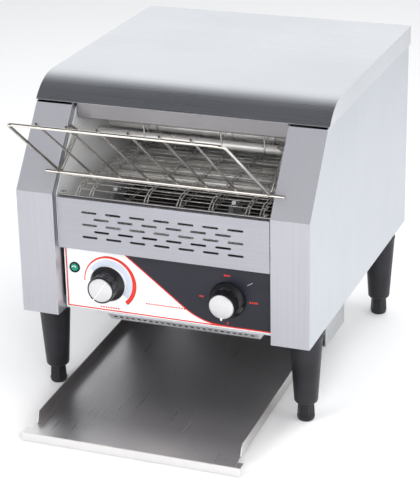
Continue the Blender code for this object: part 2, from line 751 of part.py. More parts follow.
def leg(name, x, back):
    """Tapered plastic leg with a bore for the levelling foot's stem."""
    top = BASE_Z - GAP
    bore = FOOT_STEM_RADIUS + 0.0006
    profile = [(0.0, top), (LEG_TOP_RADIUS + 0.001, top), (LEG_TOP_RADIUS + 0.001, top - 0.004),
               (LEG_TOP_RADIUS, top - 0.012), (LEG_LOW_RADIUS, LEG_LOW_Z + 0.002),
               (LEG_LOW_RADIUS - 0.0015, LEG_LOW_Z), (bore, LEG_LOW_Z), (bore, LEG_LOW_Z + LEG_BORE_DEPTH),
               (0.0, LEG_LOW_Z + LEG_BORE_DEPTH)]
    return turned(name, profile, (x, back, 0.0), "Z", BLACK_PLASTIC)


def foot(name, x, back):
    """Levelling foot: a stem that screws into the leg and a six-sided base."""
    high = LEG_LOW_Z - GAP
    base = rod(name, (x, back, 0.0), 0.006, FOOT_RADIUS - 0.0015, "Z", BLACK_PLASTIC, sides=ROUND,
               end_radius=FOOT_RADIUS)
    nut = rod(name + "_nut", (x, back, 0.0055), high, FOOT_RADIUS, "Z", None, CUTTERS, 6,
              FOOT_RADIUS - 0.0012)
    stem = rod(name + "_stem", (x, back, 0.010), high + FOOT_STEM_LENGTH, FOOT_STEM_RADIUS, "Z", None,
               CUTTERS, SMALL_ROUND)
    combine(base, nut, "UNION")
    return combine(base, stem, "UNION")


for place, back in zip(("front", "rear"), LEG_BACKS):
    for hand, side in (("left", -1), ("right", 1)):
        leg(f"{place}_{hand}_leg", side * LEG_X, back)
        foot(f"{place}_{hand}_foot", side * LEG_X, back)

# ---------------------------------------------------------------- loading rack


def wire(name, points, radius, made_of=None, collection=CUTTERS):
    """A round wire along (x, back, z) points."""
    curve = bpy.data.curves.new(name, "CURVE")
    curve.dimensions = "3D"
    curve.bevel_depth = radius
    curve.bevel_resolution = 2
    curve.use_fill_caps = True
    spline = curve.splines.new("POLY")
    spline.points.add(len(points) - 1)
    for point, (x, back, z) in zip(spline.points, points):
        point.co = (x, row_y(back), z, 1.0)
    holder = bpy.data.objects.new(name + "_curve", curve)
    bpy.context.scene.collection.objects.link(holder)
    return mesh_of_curve(holder, name, made_of, collection)


def rounded(points, radius, steps=3):
    """Replace each inner corner of a 3D path by an arc-like bend."""
    path = [Vector(points[0])]
    for before, corner, after in zip(points, points[1:], points[2:]):
        corner = Vector(corner)
        start = corner + (Vector(before) - corner).normalized() * radius
        end = corner + (Vector(after) - corner).normalized() * radius
        for i in range(steps + 1):
            share = i / steps
            path.append((1 - share) ** 2 * start + 2 * share * (1 - share) * corner + share ** 2 * end)
    path.append(Vector(points[-1]))
    return [tuple(point) for point in path]


def wire_rack():
    """Wire loading rack: one bent frame wire, two lower rails and slanted rods."""
    ux, uz = RACK_LOWER[0] - RACK_UPPER[0], RACK_LOWER[1] - RACK_UPPER[1]
    length = math.hypot(ux, uz)
    ux, uz = ux / length, uz / length
    hook_end, hook_bend = RACK_HOOK
    frame = [(-RACK_ARM_X, *hook_end), (-RACK_ARM_X, *hook_bend), (-RACK_ARM_X, *RACK_LOWER),
             (-RACK_UPPER_X, *RACK_UPPER), (RACK_UPPER_X, *RACK_UPPER),
             (RACK_ARM_X, *RACK_LOWER), (RACK_ARM_X, *hook_bend), (RACK_ARM_X, *hook_end)]
    rack = wire("wire_rack", rounded(frame, RACK_BEND_RADIUS), RACK_RADIUS, WIRE, PARTS)
    lower = wire("rack_lower_rail", [(-RACK_LOWER_X, *RACK_LOWER), (RACK_LOWER_X, *RACK_LOWER)], RACK_RADIUS)
    combine(rack, lower, "UNION")
    second = (RACK_LOWER[0] + ux * RACK_RAIL_STEP, RACK_LOWER[1] + uz * RACK_RAIL_STEP)
    rail = wire("rack_second_rail", [(-RACK_ARM_X + 0.003, *second), (RACK_ARM_X - 0.003, *second)],
                RACK_ROD_RADIUS)
    combine(rack, rail, "UNION")
    lift = RACK_ROD_LIFT
    over = RACK_ROD_OVERHANG
    start = (RACK_UPPER[0] - ux * over - uz * lift, RACK_UPPER[1] - uz * over + ux * lift)
    end = (second[0] - uz * lift * 0.7 + ux * 0.001, second[1] + ux * lift * 0.7 + uz * 0.001)
    for index, x in enumerate(spread(RACK_RODS, 2 * RACK_UPPER_X / (RACK_RODS + 1))):
        bar = wire(f"rack_rod_{index}", [(x, *start), (x, *end)], RACK_ROD_RADIUS)
        combine(rack, bar, "UNION")
    return rack


wire_rack()

# ---------------------------------------------------------------- conveyor


def belt_point(distance, radius):
    """Point on the belt loop, in (back, z), at a distance along its middle line."""
    run = BELT_RUN_PITCHES * BELT_PITCH
    turn = math.pi * BELT_RADIUS
    distance %= 2 * (run + turn)
    if distance < run:
        return IDLER_BACK + distance, SHAFT_Z + radius
    distance -= run
    if distance < turn:
        angle = math.pi / 2 - distance / BELT_RADIUS
        return DRIVE_BACK + radius * math.cos(angle), SHAFT_Z + radius * math.sin(angle)
    distance -= turn
    if distance < run:
        return DRIVE_BACK - distance, SHAFT_Z - radius
    angle = -math.pi / 2 - (distance - run) / BELT_RADIUS
    return IDLER_BACK + radius * math.cos(angle), SHAFT_Z + radius * math.sin(angle)


def conveyor_belt():
    """Closed wire belt: cross bars joined by narrow links, as one open lattice."""
    pitches = 2 * BELT_RUN_PITCHES + BELT_PITCHES_PER_TURN
    edges = sorted(x + side * BELT_STRIP_WIDTH / 2 for x in BELT_STRIPS for side in (-1, 1))
    shape = bmesh.new()
    rows = []
    for pitch in range(pitches):
        for shift in (-BELT_BAR / 2, BELT_BAR / 2):
            back, z = belt_point(pitch * BELT_PITCH + shift, BELT_RADIUS)
            rows.append([shape.verts.new((x, row_y(back), z)) for x in edges])
    for index, row in enumerate(rows):
        following = rows[(index + 1) % len(rows)]
        is_bar = index % 2 == 0
        for column in range(len(edges) - 1):
            if is_bar or column % 2 == 0:
                shape.faces.new((row[column], following[column], following[column + 1], row[column + 1]))
    bmesh.ops.recalc_face_normals(shape, faces=shape.faces)
    mesh = bpy.data.meshes.new("conveyor_belt")
    shape.to_mesh(mesh)
    shape.free()
    belt = add("conveyor_belt", mesh, WIRE)
    solid = belt.modifiers.new("thickness", "SOLIDIFY")
    solid.thickness = BELT_THICKNESS
    solid.offset = 0.0
    return belt


conveyor_belt()


def gear_outline(centre, teeth, tip, root):
    """Toothed outline around a centre, with flat tips and flat roots."""
    points = []
    for tooth in range(teeth):
        for share, radius in ((-0.30, root), (-0.14, tip), (0.14, tip), (0.30, root)):
            angle = (tooth + share) * 2 * math.pi / teeth
            points.append((centre[0] + radius * math.cos(angle), centre[1] + radius * math.sin(angle)))
    return points


def circle_points(centre, radius, sides):
    """Points of a polygon around a centre."""
    return [(centre[0] + radius * math.cos(2 * math.pi * i / sides),
             centre[1] + radius * math.sin(2 * math.pi * i / sides)) for i in range(sides)]


def sprocket(name, x, centre, teeth, tip, root, width):
    """Toothed wheel with a bore for its shaft."""
    bore = circle_points(centre, SHAFT_RADIUS + BORE_PLAY, SMALL_ROUND)
    loops = [gear_outline(centre, teeth, tip, root), bore]
    return outline(name, loops, x - width / 2, x + width / 2, "X", ZINC)


def bush(name, side, back):
    """Flanged bearing bush in a chamber wall, its flange outside the wall."""
    bore = SHAFT_RADIUS + BORE_PLAY
    profile = [(bore, BUSH_LENGTH), (BUSH_FLANGE_RADIUS, BUSH_LENGTH), (BUSH_FLANGE_RADIUS, BUSH_FLANGE_LOW),
               (BUSH_RADIUS, BUSH_FLANGE_LOW), (BUSH_RADIUS, 0.0), (bore, 0.0), (bore, BUSH_LENGTH)]
    made = turned(name, profile, (side * (CHAMBER_X - 0.001), back, SHAFT_Z), "X", BRONZE)
    if side < 0:
        made.matrix_world = made.matrix_world @ Matrix.Rotation(math.pi, 4, "X")
    return made


for shaft_name, back in (("idler", IDLER_BACK), ("drive", DRIVE_BACK)):
    smooth(rod(f"{shaft_name}_shaft", (-SHAFT_END_X, back, SHAFT_Z), SHAFT_END_X + SHAFT_DRIVE_STUB,
               SHAFT_RADIUS, "X", POLISHED, sides=ROUND))
    for hand, side, x in zip(("left", "right"), (-1, 1), SPROCKET_X):
        sprocket(f"{shaft_name}_sprocket_{hand}", x, (back, SHAFT_Z), BELT_PITCHES_PER_TURN,
                 SPROCKET_TIP, SPROCKET_ROOT, SPROCKET_WIDTH)
        bush(f"{shaft_name}_bush_{hand}", side, back)

# ---------------------------------------------------------------- chain drive


def pitch_radius(teeth):
    """Pitch circle radius of a chain sprocket."""
    return CHAIN_PITCH / (2 * math.sin(math.pi / teeth))


def chain_loop(extra, steps=10):
    """Outline around both chain sprockets, moved out from the pitch line by a distance."""
    big, small = Vector((DRIVE_BACK, SHAFT_Z)), Vector((MOTOR_BACK, MOTOR_Z))
    big_radius, small_radius = pitch_radius(DRIVE_TEETH) + extra, pitch_radius(MOTOR_TEETH) + extra
    along = math.atan2(big.y - small.y, big.x - small.x)
    lean = math.acos((big_radius - small_radius) / (big - small).length)
    around_big = arc(big, big_radius, along + math.pi + lean - 2 * math.pi, along + math.pi - lean, steps)
    around_small = arc(small, small_radius, along + math.pi - lean, along + math.pi + lean, steps // 2)
    return around_big + around_small


def drive_chain():
    """Chain between the gear motor and the drive shaft."""
    outer = chain_loop(CHAIN_HEIGHT / 2)
    inner = chain_loop(-CHAIN_HEIGHT / 2)
    return outline("drive_chain", [outer, inner], CHAIN_X - CHAIN_WIDTH / 2, CHAIN_X + CHAIN_WIDTH / 2, "X",
                   DARK_STEEL)


def motor_sprocket():
    """Small chain wheel on the gear motor's output shaft."""
    tip = pitch_radius(MOTOR_TEETH) - CHAIN_HEIGHT / 2 - TOOTH_CLEARANCE * 0.8
    teeth = gear_outline((MOTOR_BACK, MOTOR_Z), MOTOR_TEETH, tip, tip - 0.0015)
    wheel = outline("motor_sprocket", [teeth], CHAIN_X - CHAIN_WHEEL_WIDTH / 2,
                    CHAIN_X + CHAIN_WHEEL_WIDTH / 2, "X", ZINC)
    shaft = rod("motor_output_shaft", (CHAMBER_X - 0.0007, MOTOR_BACK, MOTOR_Z), CHAIN_X + 0.004,
                MOTOR_SHAFT_RADIUS, "X", None, CUTTERS, SMALL_ROUND)
    return combine(wheel, shaft, "UNION")


drive_chain()
chain_tip = pitch_radius(DRIVE_TEETH) - CHAIN_HEIGHT / 2 - TOOTH_CLEARANCE
sprocket("chain_sprocket", CHAIN_X, (DRIVE_BACK, SHAFT_Z), DRIVE_TEETH, chain_tip, chain_tip - 0.0018,
         CHAIN_WHEEL_WIDTH)
motor_sprocket()


def gear_motor():
    """Gearbox with the motor can on its side."""
    gearbox = block("gear_motor", (GEARBOX_INNER_X, MOTOR_BACK - GEARBOX_HALF_DEPTH, GEARBOX_LOW_Z),
                    (OPENING_X - GAP, MOTOR_BACK + GEARBOX_HALF_DEPTH, GEARBOX_HIGH_Z), DARK_STEEL)
    can = rod("motor_can", (CAN_INNER_X, MOTOR_BACK, MOTOR_Z), CAN_OUTER_X, CAN_RADIUS, "X", None, CUTTERS)
    return combine(gearbox, can, "UNION")


gear_motor()

# ---------------------------------------------------------------- heaters


def heater(name, back, z):
    """Straight heater tube with a ceramic end and a pin outside each chamber wall."""
    shoulder_x = CHAMBER_X + SHEET + 2 * GAP
    half_profile = [(0.0, HEATER_PIN_END_X), (HEATER_PIN_RADIUS, HEATER_PIN_END_X),
                    (HEATER_PIN_RADIUS, HEATER_CERAMIC_END_X), (HEATER_CERAMIC_RADIUS, HEATER_CERAMIC_END_X),
                    (HEATER_CERAMIC_RADIUS, shoulder_x), (HEATER_RADIUS, shoulder_x)]
    profile = half_profile + [(radius, -height) for radius, height in reversed(half_profile)]
    return turned(name, profile, (0.0, back, z), "X", QUARTZ, SMALL_ROUND)


for number, back in enumerate(LOWER_HEATERS, 1):
    heater(f"lower_heater_{number}", back, LOWER_HEATER_Z)
for number, back in enumerate(UPPER_HEATERS, 1):
    heater(f"upper_heater_{number}", back, UPPER_HEATER_Z)

# ---------------------------------------------------------------- fan


def fan_frame():
    """Square fan housing with a round bore and four struts that carry the motor."""
    half = FAN_SIDE / 2
    frame = block("fan_frame", (FAN_X - half, FAN_BACK - half, FAN_LOW_Z + GAP),
                  (FAN_X + half, FAN_BACK + half, FAN_HIGH_Z), BLACK_PLASTIC)
    bore = rod("fan_bore", (FAN_X, FAN_BACK, FAN_LOW_Z - OVERRUN), FAN_HIGH_Z + OVERRUN, FAN_BORE, "Z",
               None, CUTTERS)
    combine(frame, bore, "DIFFERENCE")
    strut_low, strut_high = FAN_LOW_Z + 0.001, FAN_LOW_Z + 0.004
    cross = [block("fan_strut_x", (FAN_X - half + 0.001, FAN_BACK - 0.002, strut_low),
                   (FAN_X + half - 0.001, FAN_BACK + 0.002, strut_high), None, CUTTERS),
             block("fan_strut_y", (FAN_X - 0.002, FAN_BACK - half + 0.001, strut_low + 0.0002),
                   (FAN_X + 0.002, FAN_BACK + half - 0.001, strut_high + 0.0002), None, CUTTERS),
             rod("fan_boss", (FAN_X, FAN_BACK, strut_low - 0.0002), strut_high + 0.0006,
                 FAN_HUB_RADIUS - 0.001, "Z", None, CUTTERS)]
    for strut in cross:
        combine(frame, strut, "UNION")
    return frame


def fan_rotor():
    """Hub with tilted blades."""
    low = FAN_LOW_Z + 0.006
    high = FAN_HIGH_Z - 0.002
    hub = rod("fan_rotor", (FAN_X, FAN_BACK, low), high, FAN_HUB_RADIUS, "Z", BLACK_PLASTIC)
    middle_z = (low + high) / 2
    for index in range(FAN_BLADES):
        blade = block(f"fan_blade_{index}", (-0.0006, 0.012 - FRONT_Y, -0.0085),
                      (0.0006, 0.0335 - FRONT_Y, 0.0085), None, CUTTERS)
        turn = Matrix.Rotation(2 * math.pi * index / FAN_BLADES, 4, "Z")
        tilt = Matrix.Rotation(FAN_BLADE_TILT, 4, "Y")
        blade.matrix_world = Matrix.Translation((FAN_X, row_y(FAN_BACK), middle_z)) @ turn @ tilt
        combine(hub, blade, "UNION")
    return hub


fan_frame()
fan_rotor()

# ---------------------------------------------------------------- controls


def knob(name, x):
    """Control knob: skirt, fluted grip, cap and the stem that passes through the panel."""
    skirt_back = CONTROL_BACK - 0.0022
    grip = []
    sides = KNOB_FLUTES * 4
    for i in range(sides):
        angle = 2 * math.pi * i / sides
        radius = KNOB_CAP_RADIUS + 0.0004 - 0.0011 * (1 - math.cos(KNOB_FLUTES * angle)) / 2
        grip.append((x + radius * math.cos(angle), KNOB_Z + radius * math.sin(angle)))
    body = outline(name, [grip], KNOB_FACE_BACK + 0.004, skirt_back - 0.002, "Y", BLACK_PLASTIC)
    skirt = rod(name + "_skirt", (x, skirt_back - 0.006, KNOB_Z), skirt_back, KNOB_CAP_RADIUS + 0.002, "Y",
                None, CUTTERS, ROUND, KNOB_SKIRT_RADIUS)
    cap = rod(name + "_cap", (x, KNOB_FACE_BACK, KNOB_Z), KNOB_FACE_BACK + 0.0045, KNOB_CAP_RADIUS - 0.001,
              "Y", None, CUTTERS, ROUND, KNOB_CAP_RADIUS)
    stem = rod(name + "_stem", (x, skirt_back - 0.001, KNOB_Z), SWITCH_BACK - GAP, KNOB_STEM_RADIUS, "Y",
               None, CUTTERS, SMALL_ROUND)
    for piece in (skirt, cap, stem):
        combine(body, piece, "UNION")
    return body


knob("speed_knob", -KNOB_X)
knob("selector_knob", KNOB_X)

block("speed_controller", (-KNOB_X - 0.024, SWITCH_BACK, KNOB_Z - 0.020),
      (-KNOB_X + 0.024, SWITCH_BACK + 0.030, KNOB_Z + 0.020), BLACK_PLASTIC)
block("selector_switch", (KNOB_X - 0.021, SWITCH_BACK, KNOB_Z - 0.021),
      (KNOB_X + 0.021, SWITCH_BACK + 0.038, KNOB_Z + 0.021), CERAMIC)
lamp_front = CONTROL_BACK - GAP - OVERLAY_THICKNESS - GAP
turned("pilot_lamp", [(0.0, 0.0034), (0.0040, 0.0031), (LAMP_BODY_RADIUS, 0.0022), (LAMP_RADIUS, 0.0018),
                      (LAMP_RADIUS, 0.0), (LAMP_BODY_RADIUS, 0.0), (LAMP_BODY_RADIUS, -0.020), (0.0, -0.020)],
       (LAMP_X, lamp_front, LAMP_Z), "Y", GREEN_LENS).matrix_world @= Matrix.Rotation(math.pi, 4, "X")

block("terminal_block", (-0.126, 0.262, PAN_LOW_Z + SHEET + GAP), (-0.082, 0.300, 0.138), CERAMIC)

turned("cable_gland", [(0.0048, 0.0120), (0.0085, 0.0118), (0.0100, 0.0090), (0.0115, 0.0085),
                       (0.0115, GAP), (GLAND_RADIUS, GAP), (GLAND_RADIUS, -0.010), (0.0048, -0.010),
                       (0.0048, 0.0120)],
       (GLAND_X, REAR_PANEL_BACK + SHEET, GLAND_Z), "Y", BLACK_PLASTIC)
turned("earth_stud", [(0.0, 0.0100), (EARTH_RADIUS, 0.0100), (EARTH_RADIUS, 0.0044), (0.0060, 0.0040),
                      (0.0060, GAP), (EARTH_RADIUS, GAP), (EARTH_RADIUS, -0.010), (0.0, -0.010)],
       (EARTH_X, REAR_PANEL_BACK + SHEET, EARTH_Z), "Y", ZINC, SMALL_ROUND)

for round_piece in PARTS.objects:
    if round_piece.name in ("wire_rack", "speed_knob", "selector_knob"):
        smooth(round_piece)
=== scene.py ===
"""Looks of the countertop conveyor toaster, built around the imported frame.

Metres, +Z up, front towards -Y. "Back" distances are measured rearwards from the column fronts.
"""

import json
import math

import bmesh
import bpy
from mathutils import Matrix, Vector


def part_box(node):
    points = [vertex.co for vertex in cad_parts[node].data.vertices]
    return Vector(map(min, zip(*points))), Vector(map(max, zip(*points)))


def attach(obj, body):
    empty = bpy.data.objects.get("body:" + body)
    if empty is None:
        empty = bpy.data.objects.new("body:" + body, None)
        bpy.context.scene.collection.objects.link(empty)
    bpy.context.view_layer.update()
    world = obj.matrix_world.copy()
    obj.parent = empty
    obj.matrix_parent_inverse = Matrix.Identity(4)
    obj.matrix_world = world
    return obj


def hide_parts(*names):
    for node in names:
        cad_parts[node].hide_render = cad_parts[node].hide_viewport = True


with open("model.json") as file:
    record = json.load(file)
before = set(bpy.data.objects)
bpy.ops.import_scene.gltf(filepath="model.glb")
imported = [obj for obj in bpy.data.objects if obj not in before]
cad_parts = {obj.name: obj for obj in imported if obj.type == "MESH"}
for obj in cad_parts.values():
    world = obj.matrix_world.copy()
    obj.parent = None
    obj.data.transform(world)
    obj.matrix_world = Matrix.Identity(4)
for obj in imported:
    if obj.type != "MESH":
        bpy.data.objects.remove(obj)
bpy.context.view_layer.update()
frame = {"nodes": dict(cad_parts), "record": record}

CASING = "casing"
SIDES = (-1, 1)
FRONT_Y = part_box("left_side_panel")[0].y
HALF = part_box("top_cover")[1].x
TOP_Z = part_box("top_cover")[1].z
REAR_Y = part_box("top_cover")[1].y
BASE_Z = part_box("left_side_panel")[0].z
SHEET = 0.0012
SEAM_STEP = 0.0016
BEND_Z = 0.270
SEAM_BACK = 0.069
SEAM_Z = 0.3615
ARC_RADIUS = 0.062
ARC_TURN = math.radians(53.4)
SLOPE = math.atan2(SEAM_Z - BEND_Z, SEAM_BACK)
FRONT_FACING = 0.4
OVERRUN = 0.01
WELD = 0.000002


def row_y(back):
    """World Y of a depth measured from the column front."""
    return FRONT_Y + back


# ---------------------------------------------------------------- materials


class Paint:
    """A Principled material with short helpers for its node tree."""

    def __init__(self, name, colour, metallic=0.0, roughness=0.4, **constants):
        self.material = bpy.data.materials.new(name)
        self.material.use_nodes = True
        self.tree = self.material.node_tree
        self.shader = self.tree.nodes["Principled BSDF"]
        self.colour = colour
        self.set("Base Color", (*colour, 1.0))
        self.set("Metallic", metallic)
        self.set("Roughness", roughness)
        for key, value in constants.items():
            self.set(key.replace("_", " "), value)
        self.place = self.tree.nodes.new("ShaderNodeTexCoord").outputs["Object"]

    def set(self, socket, value):
        """Give a shader socket a constant."""
        self.shader.inputs[socket].default_value = value

    def link(self, output, socket):
        """Drive a shader socket from another node."""
        self.tree.links.new(output, self.shader.inputs[socket])

    def node(self, kind, links=(), **values):
        """Add a node with its properties set and its sockets linked or filled."""
        made = self.tree.nodes.new(kind)
        for key, value in values.items():
            setattr(made, key, value)
        for socket, source in links:
            if hasattr(source, "links"):
                self.tree.links.new(source, made.inputs[socket])
            else:
                made.inputs[socket].default_value = source
        return made

    def noise(self, scale, stretch=(1, 1, 1), detail=3.0, rough=0.5):
        """Noise in object coordinates, stretched per axis."""
        mapping = self.node("ShaderNodeMapping", [("Vector", self.place), ("Scale", stretch)])
        links = [("Vector", mapping.outputs[0]), ("Scale", scale), ("Detail", detail), ("Roughness", rough)]
        return self.node("ShaderNodeTexNoise", links).outputs["Fac"]

    def ramp(self, factor, low, high, dark, bright):
        """Map a factor between two places to two grey values or colours."""
        made = self.node("ShaderNodeValToRGB", [("Fac", factor)])
        for element, place, value in zip(made.color_ramp.elements, (low, high), (dark, bright)):
            element.position = place
            element.color = (*value, 1.0) if isinstance(value, tuple) else (value, value, value, 1.0)
        return made.outputs["Color"]

    def blend(self, factor, first, second):
        """Mix two colours; the node's colour sockets are numbers 6 and 7, its result number 2."""
        made = self.node("ShaderNodeMix", data_type="RGBA")
        for index, source in ((0, factor), (6, first), (7, second)):
            if hasattr(source, "links"):
                self.tree.links.new(source, made.inputs[index])
            else:
                made.inputs[index].default_value = source
        return made.outputs[2]

    def add(self, first, second, operation="ADD"):
        """Sum of two factors, or another operation on them."""
        return self.node("ShaderNodeMath", [(0, first), (1, second)], operation=operation).outputs[0]

    def bump(self, height, strength, distance=0.0004):
        """Relief from a height."""
        links = [("Height", height), ("Strength", strength), ("Distance", distance)]
        made = self.node("ShaderNodeBump", links)
        self.link(made.outputs[0], "Normal")

    def tint(self, factor, spread, second=None):
        """Vary the base colour between a darker and a brighter tone of itself."""
        dark = tuple(c * (1 - spread) for c in self.colour)
        bright = second or tuple(min(1.0, c * (1 + spread)) for c in self.colour)
        self.link(self.ramp(factor, 0.25, 0.75, dark, bright), "Base Color")


def brushed(name, colour, roughness, grain="X", strength=0.22, smudge=0.06, fine=900.0, metallic=1.0,
            front_tone=None):
    """Brushed steel: fine grain along one axis, cloudy handling marks, rare long scratches.

    Given a (near Y, far Y, colour), the base colour turns to that colour towards the near Y.
    """
    paint = Paint(name, colour, metallic, roughness)
    along = 4.0
    stretch = {"X": (along, fine, fine), "Y": (fine, along, fine), "Z": (fine, fine, along)}[grain]
    lines = paint.noise(1.0, stretch, 2.0, 0.7)
    cloud = paint.noise(7.0, detail=4.0)
    thin = {"X": (1.5, 260, 260), "Y": (260, 1.5, 260), "Z": (260, 260, 1.5)}[grain]
    scratches = paint.ramp(paint.noise(1.0, thin, 1.0), 0.68, 0.74, 0.0, 1.0)
    dark = tuple(c * 0.93 for c in colour)
    bright = tuple(min(1.0, c * 1.05) for c in colour)
    grained = paint.ramp(lines, 0.3, 0.7, dark, bright)
    base = paint.blend(paint.ramp(cloud, 0.35, 0.7, 0.0, 0.35), grained, (*dark, 1.0))
    # Towards the near Y the given colour is blended in, so the tray's base colour is brighter towards its
    # front.
    if front_tone:
        depth = paint.node("ShaderNodeSeparateXYZ", [(0, paint.place)]).outputs["Y"]
        near, far, polished = front_tone
        limits = [("Value", depth), ("From Min", near), ("From Max", far), ("To Min", 1.0), ("To Max", 0.0)]
        share = paint.node("ShaderNodeMapRange", limits, interpolation_type="SMOOTHSTEP").outputs[0]
        base = paint.blend(share, base, (*polished, 1.0))
    paint.link(base, "Base Color")
    rough = paint.add(paint.ramp(lines, 0.3, 0.7, roughness - 0.03, roughness + 0.05),
                      paint.ramp(cloud, 0.4, 0.7, 0.0, smudge))
    paint.link(paint.add(rough, paint.add(scratches, 0.05, "MULTIPLY"), "SUBTRACT"), "Roughness")
    paint.bump(paint.add(lines, paint.add(scratches, 0.6, "MULTIPLY"), "SUBTRACT"), strength, 0.00012)
    return paint.material


def moulded(name, colour, roughness, grit=0.12):
    """Moulded plastic: fine spark texture, worn patches and a little dust in the colour."""
    paint = Paint(name, colour, 0.0, roughness)
    paint.set("Specular IOR Level", 0.36)
    spark = paint.noise(1500.0, detail=2.0)
    rub = paint.noise(22.0, detail=4.0)
    worn = tuple(min(1.0, c * 1.7 + 0.012) for c in colour)
    paint.link(paint.ramp(rub, 0.4, 0.8, colour, worn), "Base Color")
    paint.link(paint.ramp(rub, 0.35, 0.7, roughness - 0.05, roughness + 0.12), "Roughness")
    paint.bump(spark, grit, 0.0001)
    return paint.material


def printed(name, colour, roughness=0.28):
    """Screen-printed ink under a smooth film: faint orange peel and light wear."""
    paint = Paint(name, colour, 0.0, roughness, Coat_Weight=0.12, Coat_Roughness=0.12)
    paint.set("Specular IOR Level", 0.35)
    paint.tint(paint.noise(60.0, detail=4.0), 0.05)
    patches = paint.noise(35.0, detail=3.0)
    paint.link(paint.ramp(patches, 0.3, 0.75, roughness - 0.04, roughness + 0.10), "Roughness")
    paint.bump(paint.noise(700.0, detail=2.0), 0.05, 0.0001)
    return paint.material


def bright_metal(name, colour, roughness, heat=None, grain=0.06, metallic=1.0):
    """Drawn wire, ground shafts and sheaths: smooth metal with faint heat colours or dulling."""
    paint = Paint(name, colour, metallic, roughness)
    patches = paint.noise(26.0, detail=4.0)
    paint.tint(patches, 0.07, heat)
    paint.link(paint.ramp(patches, 0.35, 0.75, roughness, roughness + 0.12), "Roughness")
    paint.bump(paint.noise(1100.0, detail=2.0), grain, 0.0001)
    return paint.material


COVER_STEEL = brushed("cover_brushed_steel", (0.66, 0.68, 0.71), 0.27, "X", 0.18)
SIDE_STEEL = brushed("side_brushed_steel", (0.63, 0.66, 0.70), 0.36, "Z", 0.16)
# Darker, duller copy of the side steel for the column's front faces: painted shade, as the column is the same
# sheet as the side.
SHADED_COLUMN_STEEL = brushed("column_steel_painted_shade", (0.47, 0.47, 0.51), 0.50, "Z", 0.16, metallic=0.55)
GUARD_STEEL = brushed("guard_plated_steel", (0.82, 0.83, 0.85), 0.42, "X", 0.12, 0.10,
                      fine=400.0, metallic=0.30)
PANEL_STEEL = brushed("panel_brushed_steel", (0.42, 0.42, 0.46), 0.34, "X", 0.16)
REAR_STEEL = brushed("rear_brushed_steel", (0.64, 0.65, 0.68), 0.36, "X", 0.20)
CHAMBER_STEEL = brushed("chamber_rolled_steel", (0.80, 0.80, 0.80), 0.36, "Y", 0.24, 0.12, metallic=0.30)
# Near-black steel: scorching on the lower heat shield, and painted shade inside the vent guard.
SCORCHED_AND_SHADED_STEEL = brushed("scorched_and_shaded_steel", (0.11, 0.10, 0.10), 0.42, "X", 0.24, 0.12, fine=500.0)
SHIELD_STEEL = brushed("shield_rolled_steel", (0.27, 0.26, 0.27), 0.30, "X", 0.24, 0.10)
SHELF_STEEL = brushed("shelf_rolled_steel", (0.58, 0.56, 0.56), 0.24, "X", 0.24, 0.10)
# Tray steel whose base colour turns brighter towards the front end.
TRAY_STEEL = brushed("tray_dull_steel", (0.50, 0.48, 0.48), 0.30, "Y", 0.015, 0.06,
                     front_tone=(row_y(-0.112), row_y(-0.045), (0.84, 0.83, 0.82)))
PLATED_STEEL = brushed("plated_steel", (0.58, 0.59, 0.61), 0.38, "Z", 0.12, 0.10, fine=400.0)
OILED_STEEL = brushed("oiled_chain_steel", (0.20, 0.19, 0.18), 0.34, "Y", 0.16, 0.14, fine=300.0)
RACK_WIRE = bright_metal("rack_chromed_wire", (0.74, 0.71, 0.66), 0.14, (0.80, 0.76, 0.70))
BELT_WIRE = bright_metal("belt_stainless_wire", (0.74, 0.72, 0.70), 0.22, (0.80, 0.76, 0.70), metallic=0.75)
SHEATH = bright_metal("heater_sheath", (0.92, 0.91, 0.90), 0.18, (0.86, 0.83, 0.78), metallic=0.45)
SHAFT_STEEL = bright_metal("ground_shaft_steel", (0.66, 0.66, 0.67), 0.20)
BRONZE = bright_metal("sintered_bronze", (0.52, 0.36, 0.18), 0.38, (0.40, 0.26, 0.14), grain=0.3)
CAP_SILVER = brushed("knob_cap_silver", (0.70, 0.70, 0.71), 0.30, "X", 0.12, 0.04, fine=1400.0)
LEG_PLASTIC = moulded("leg_black_plastic", (0.010, 0.010, 0.013), 0.42, 0.16)
KNOB_PLASTIC = moulded("knob_gloss_black", (0.012, 0.012, 0.014), 0.14, 0.03)
FAN_PLASTIC = moulded("fan_black_plastic", (0.03, 0.03, 0.033), 0.42)
PHENOLIC = moulded("switch_phenolic", (0.016, 0.011, 0.009), 0.55)
CERAMIC = moulded("white_ceramic", (0.78, 0.75, 0.68), 0.5, 0.3)
FILM_WHITE = printed("film_white", (0.94, 0.95, 0.96))
INK_CHARCOAL = printed("ink_charcoal", (0.012, 0.012, 0.022), 0.40)
INK_RED = printed("ink_red", (0.68, 0.028, 0.012), 0.36)
INK_PALE = printed("ink_pale_blue", (0.60, 0.65, 0.76))
LAMP_GREEN = printed("lamp_green", (0.02, 0.30, 0.20), 0.10)
# Pale colour of the painted highlight on the pilot lamp's lens.
LAMP_PAINTED_HIGHLIGHT = printed("lamp_painted_highlight", (0.78, 0.90, 0.84), 0.20)

SLOT_LOOKS = {
    "stainless": REAR_STEEL, "polished_steel": CHAMBER_STEEL, "dark_steel": OILED_STEEL,
    "chromed_wire": BELT_WIRE, "zinc_steel": PLATED_STEEL, "black_plastic": FAN_PLASTIC,
    "printed_overlay": FILM_WHITE, "green_lens": LAMP_GREEN, "heater_tube": SHEATH,
    "bronze": BRONZE, "ceramic": CERAMIC,
}
NODE_LOOKS = {
    "front_shield": SHIELD_STEEL, "lower_heat_shield": SCORCHED_AND_SHADED_STEEL, "bottom_pan": REAR_STEEL,
    "control_panel": PANEL_STEEL, "idler_shaft": SHAFT_STEEL, "drive_shaft": SHAFT_STEEL,
    "selector_switch": PHENOLIC, "speed_controller": PHENOLIC,
}

for entry in frame["record"]["subparts"]:
    look = NODE_LOOKS.get(entry["node"], SLOT_LOOKS[entry["material_slot"]])
    node = frame["nodes"][entry["node"]]
    node.data.materials.clear()
    node.data.materials.append(look)

# ---------------------------------------------------------------- modelling helpers


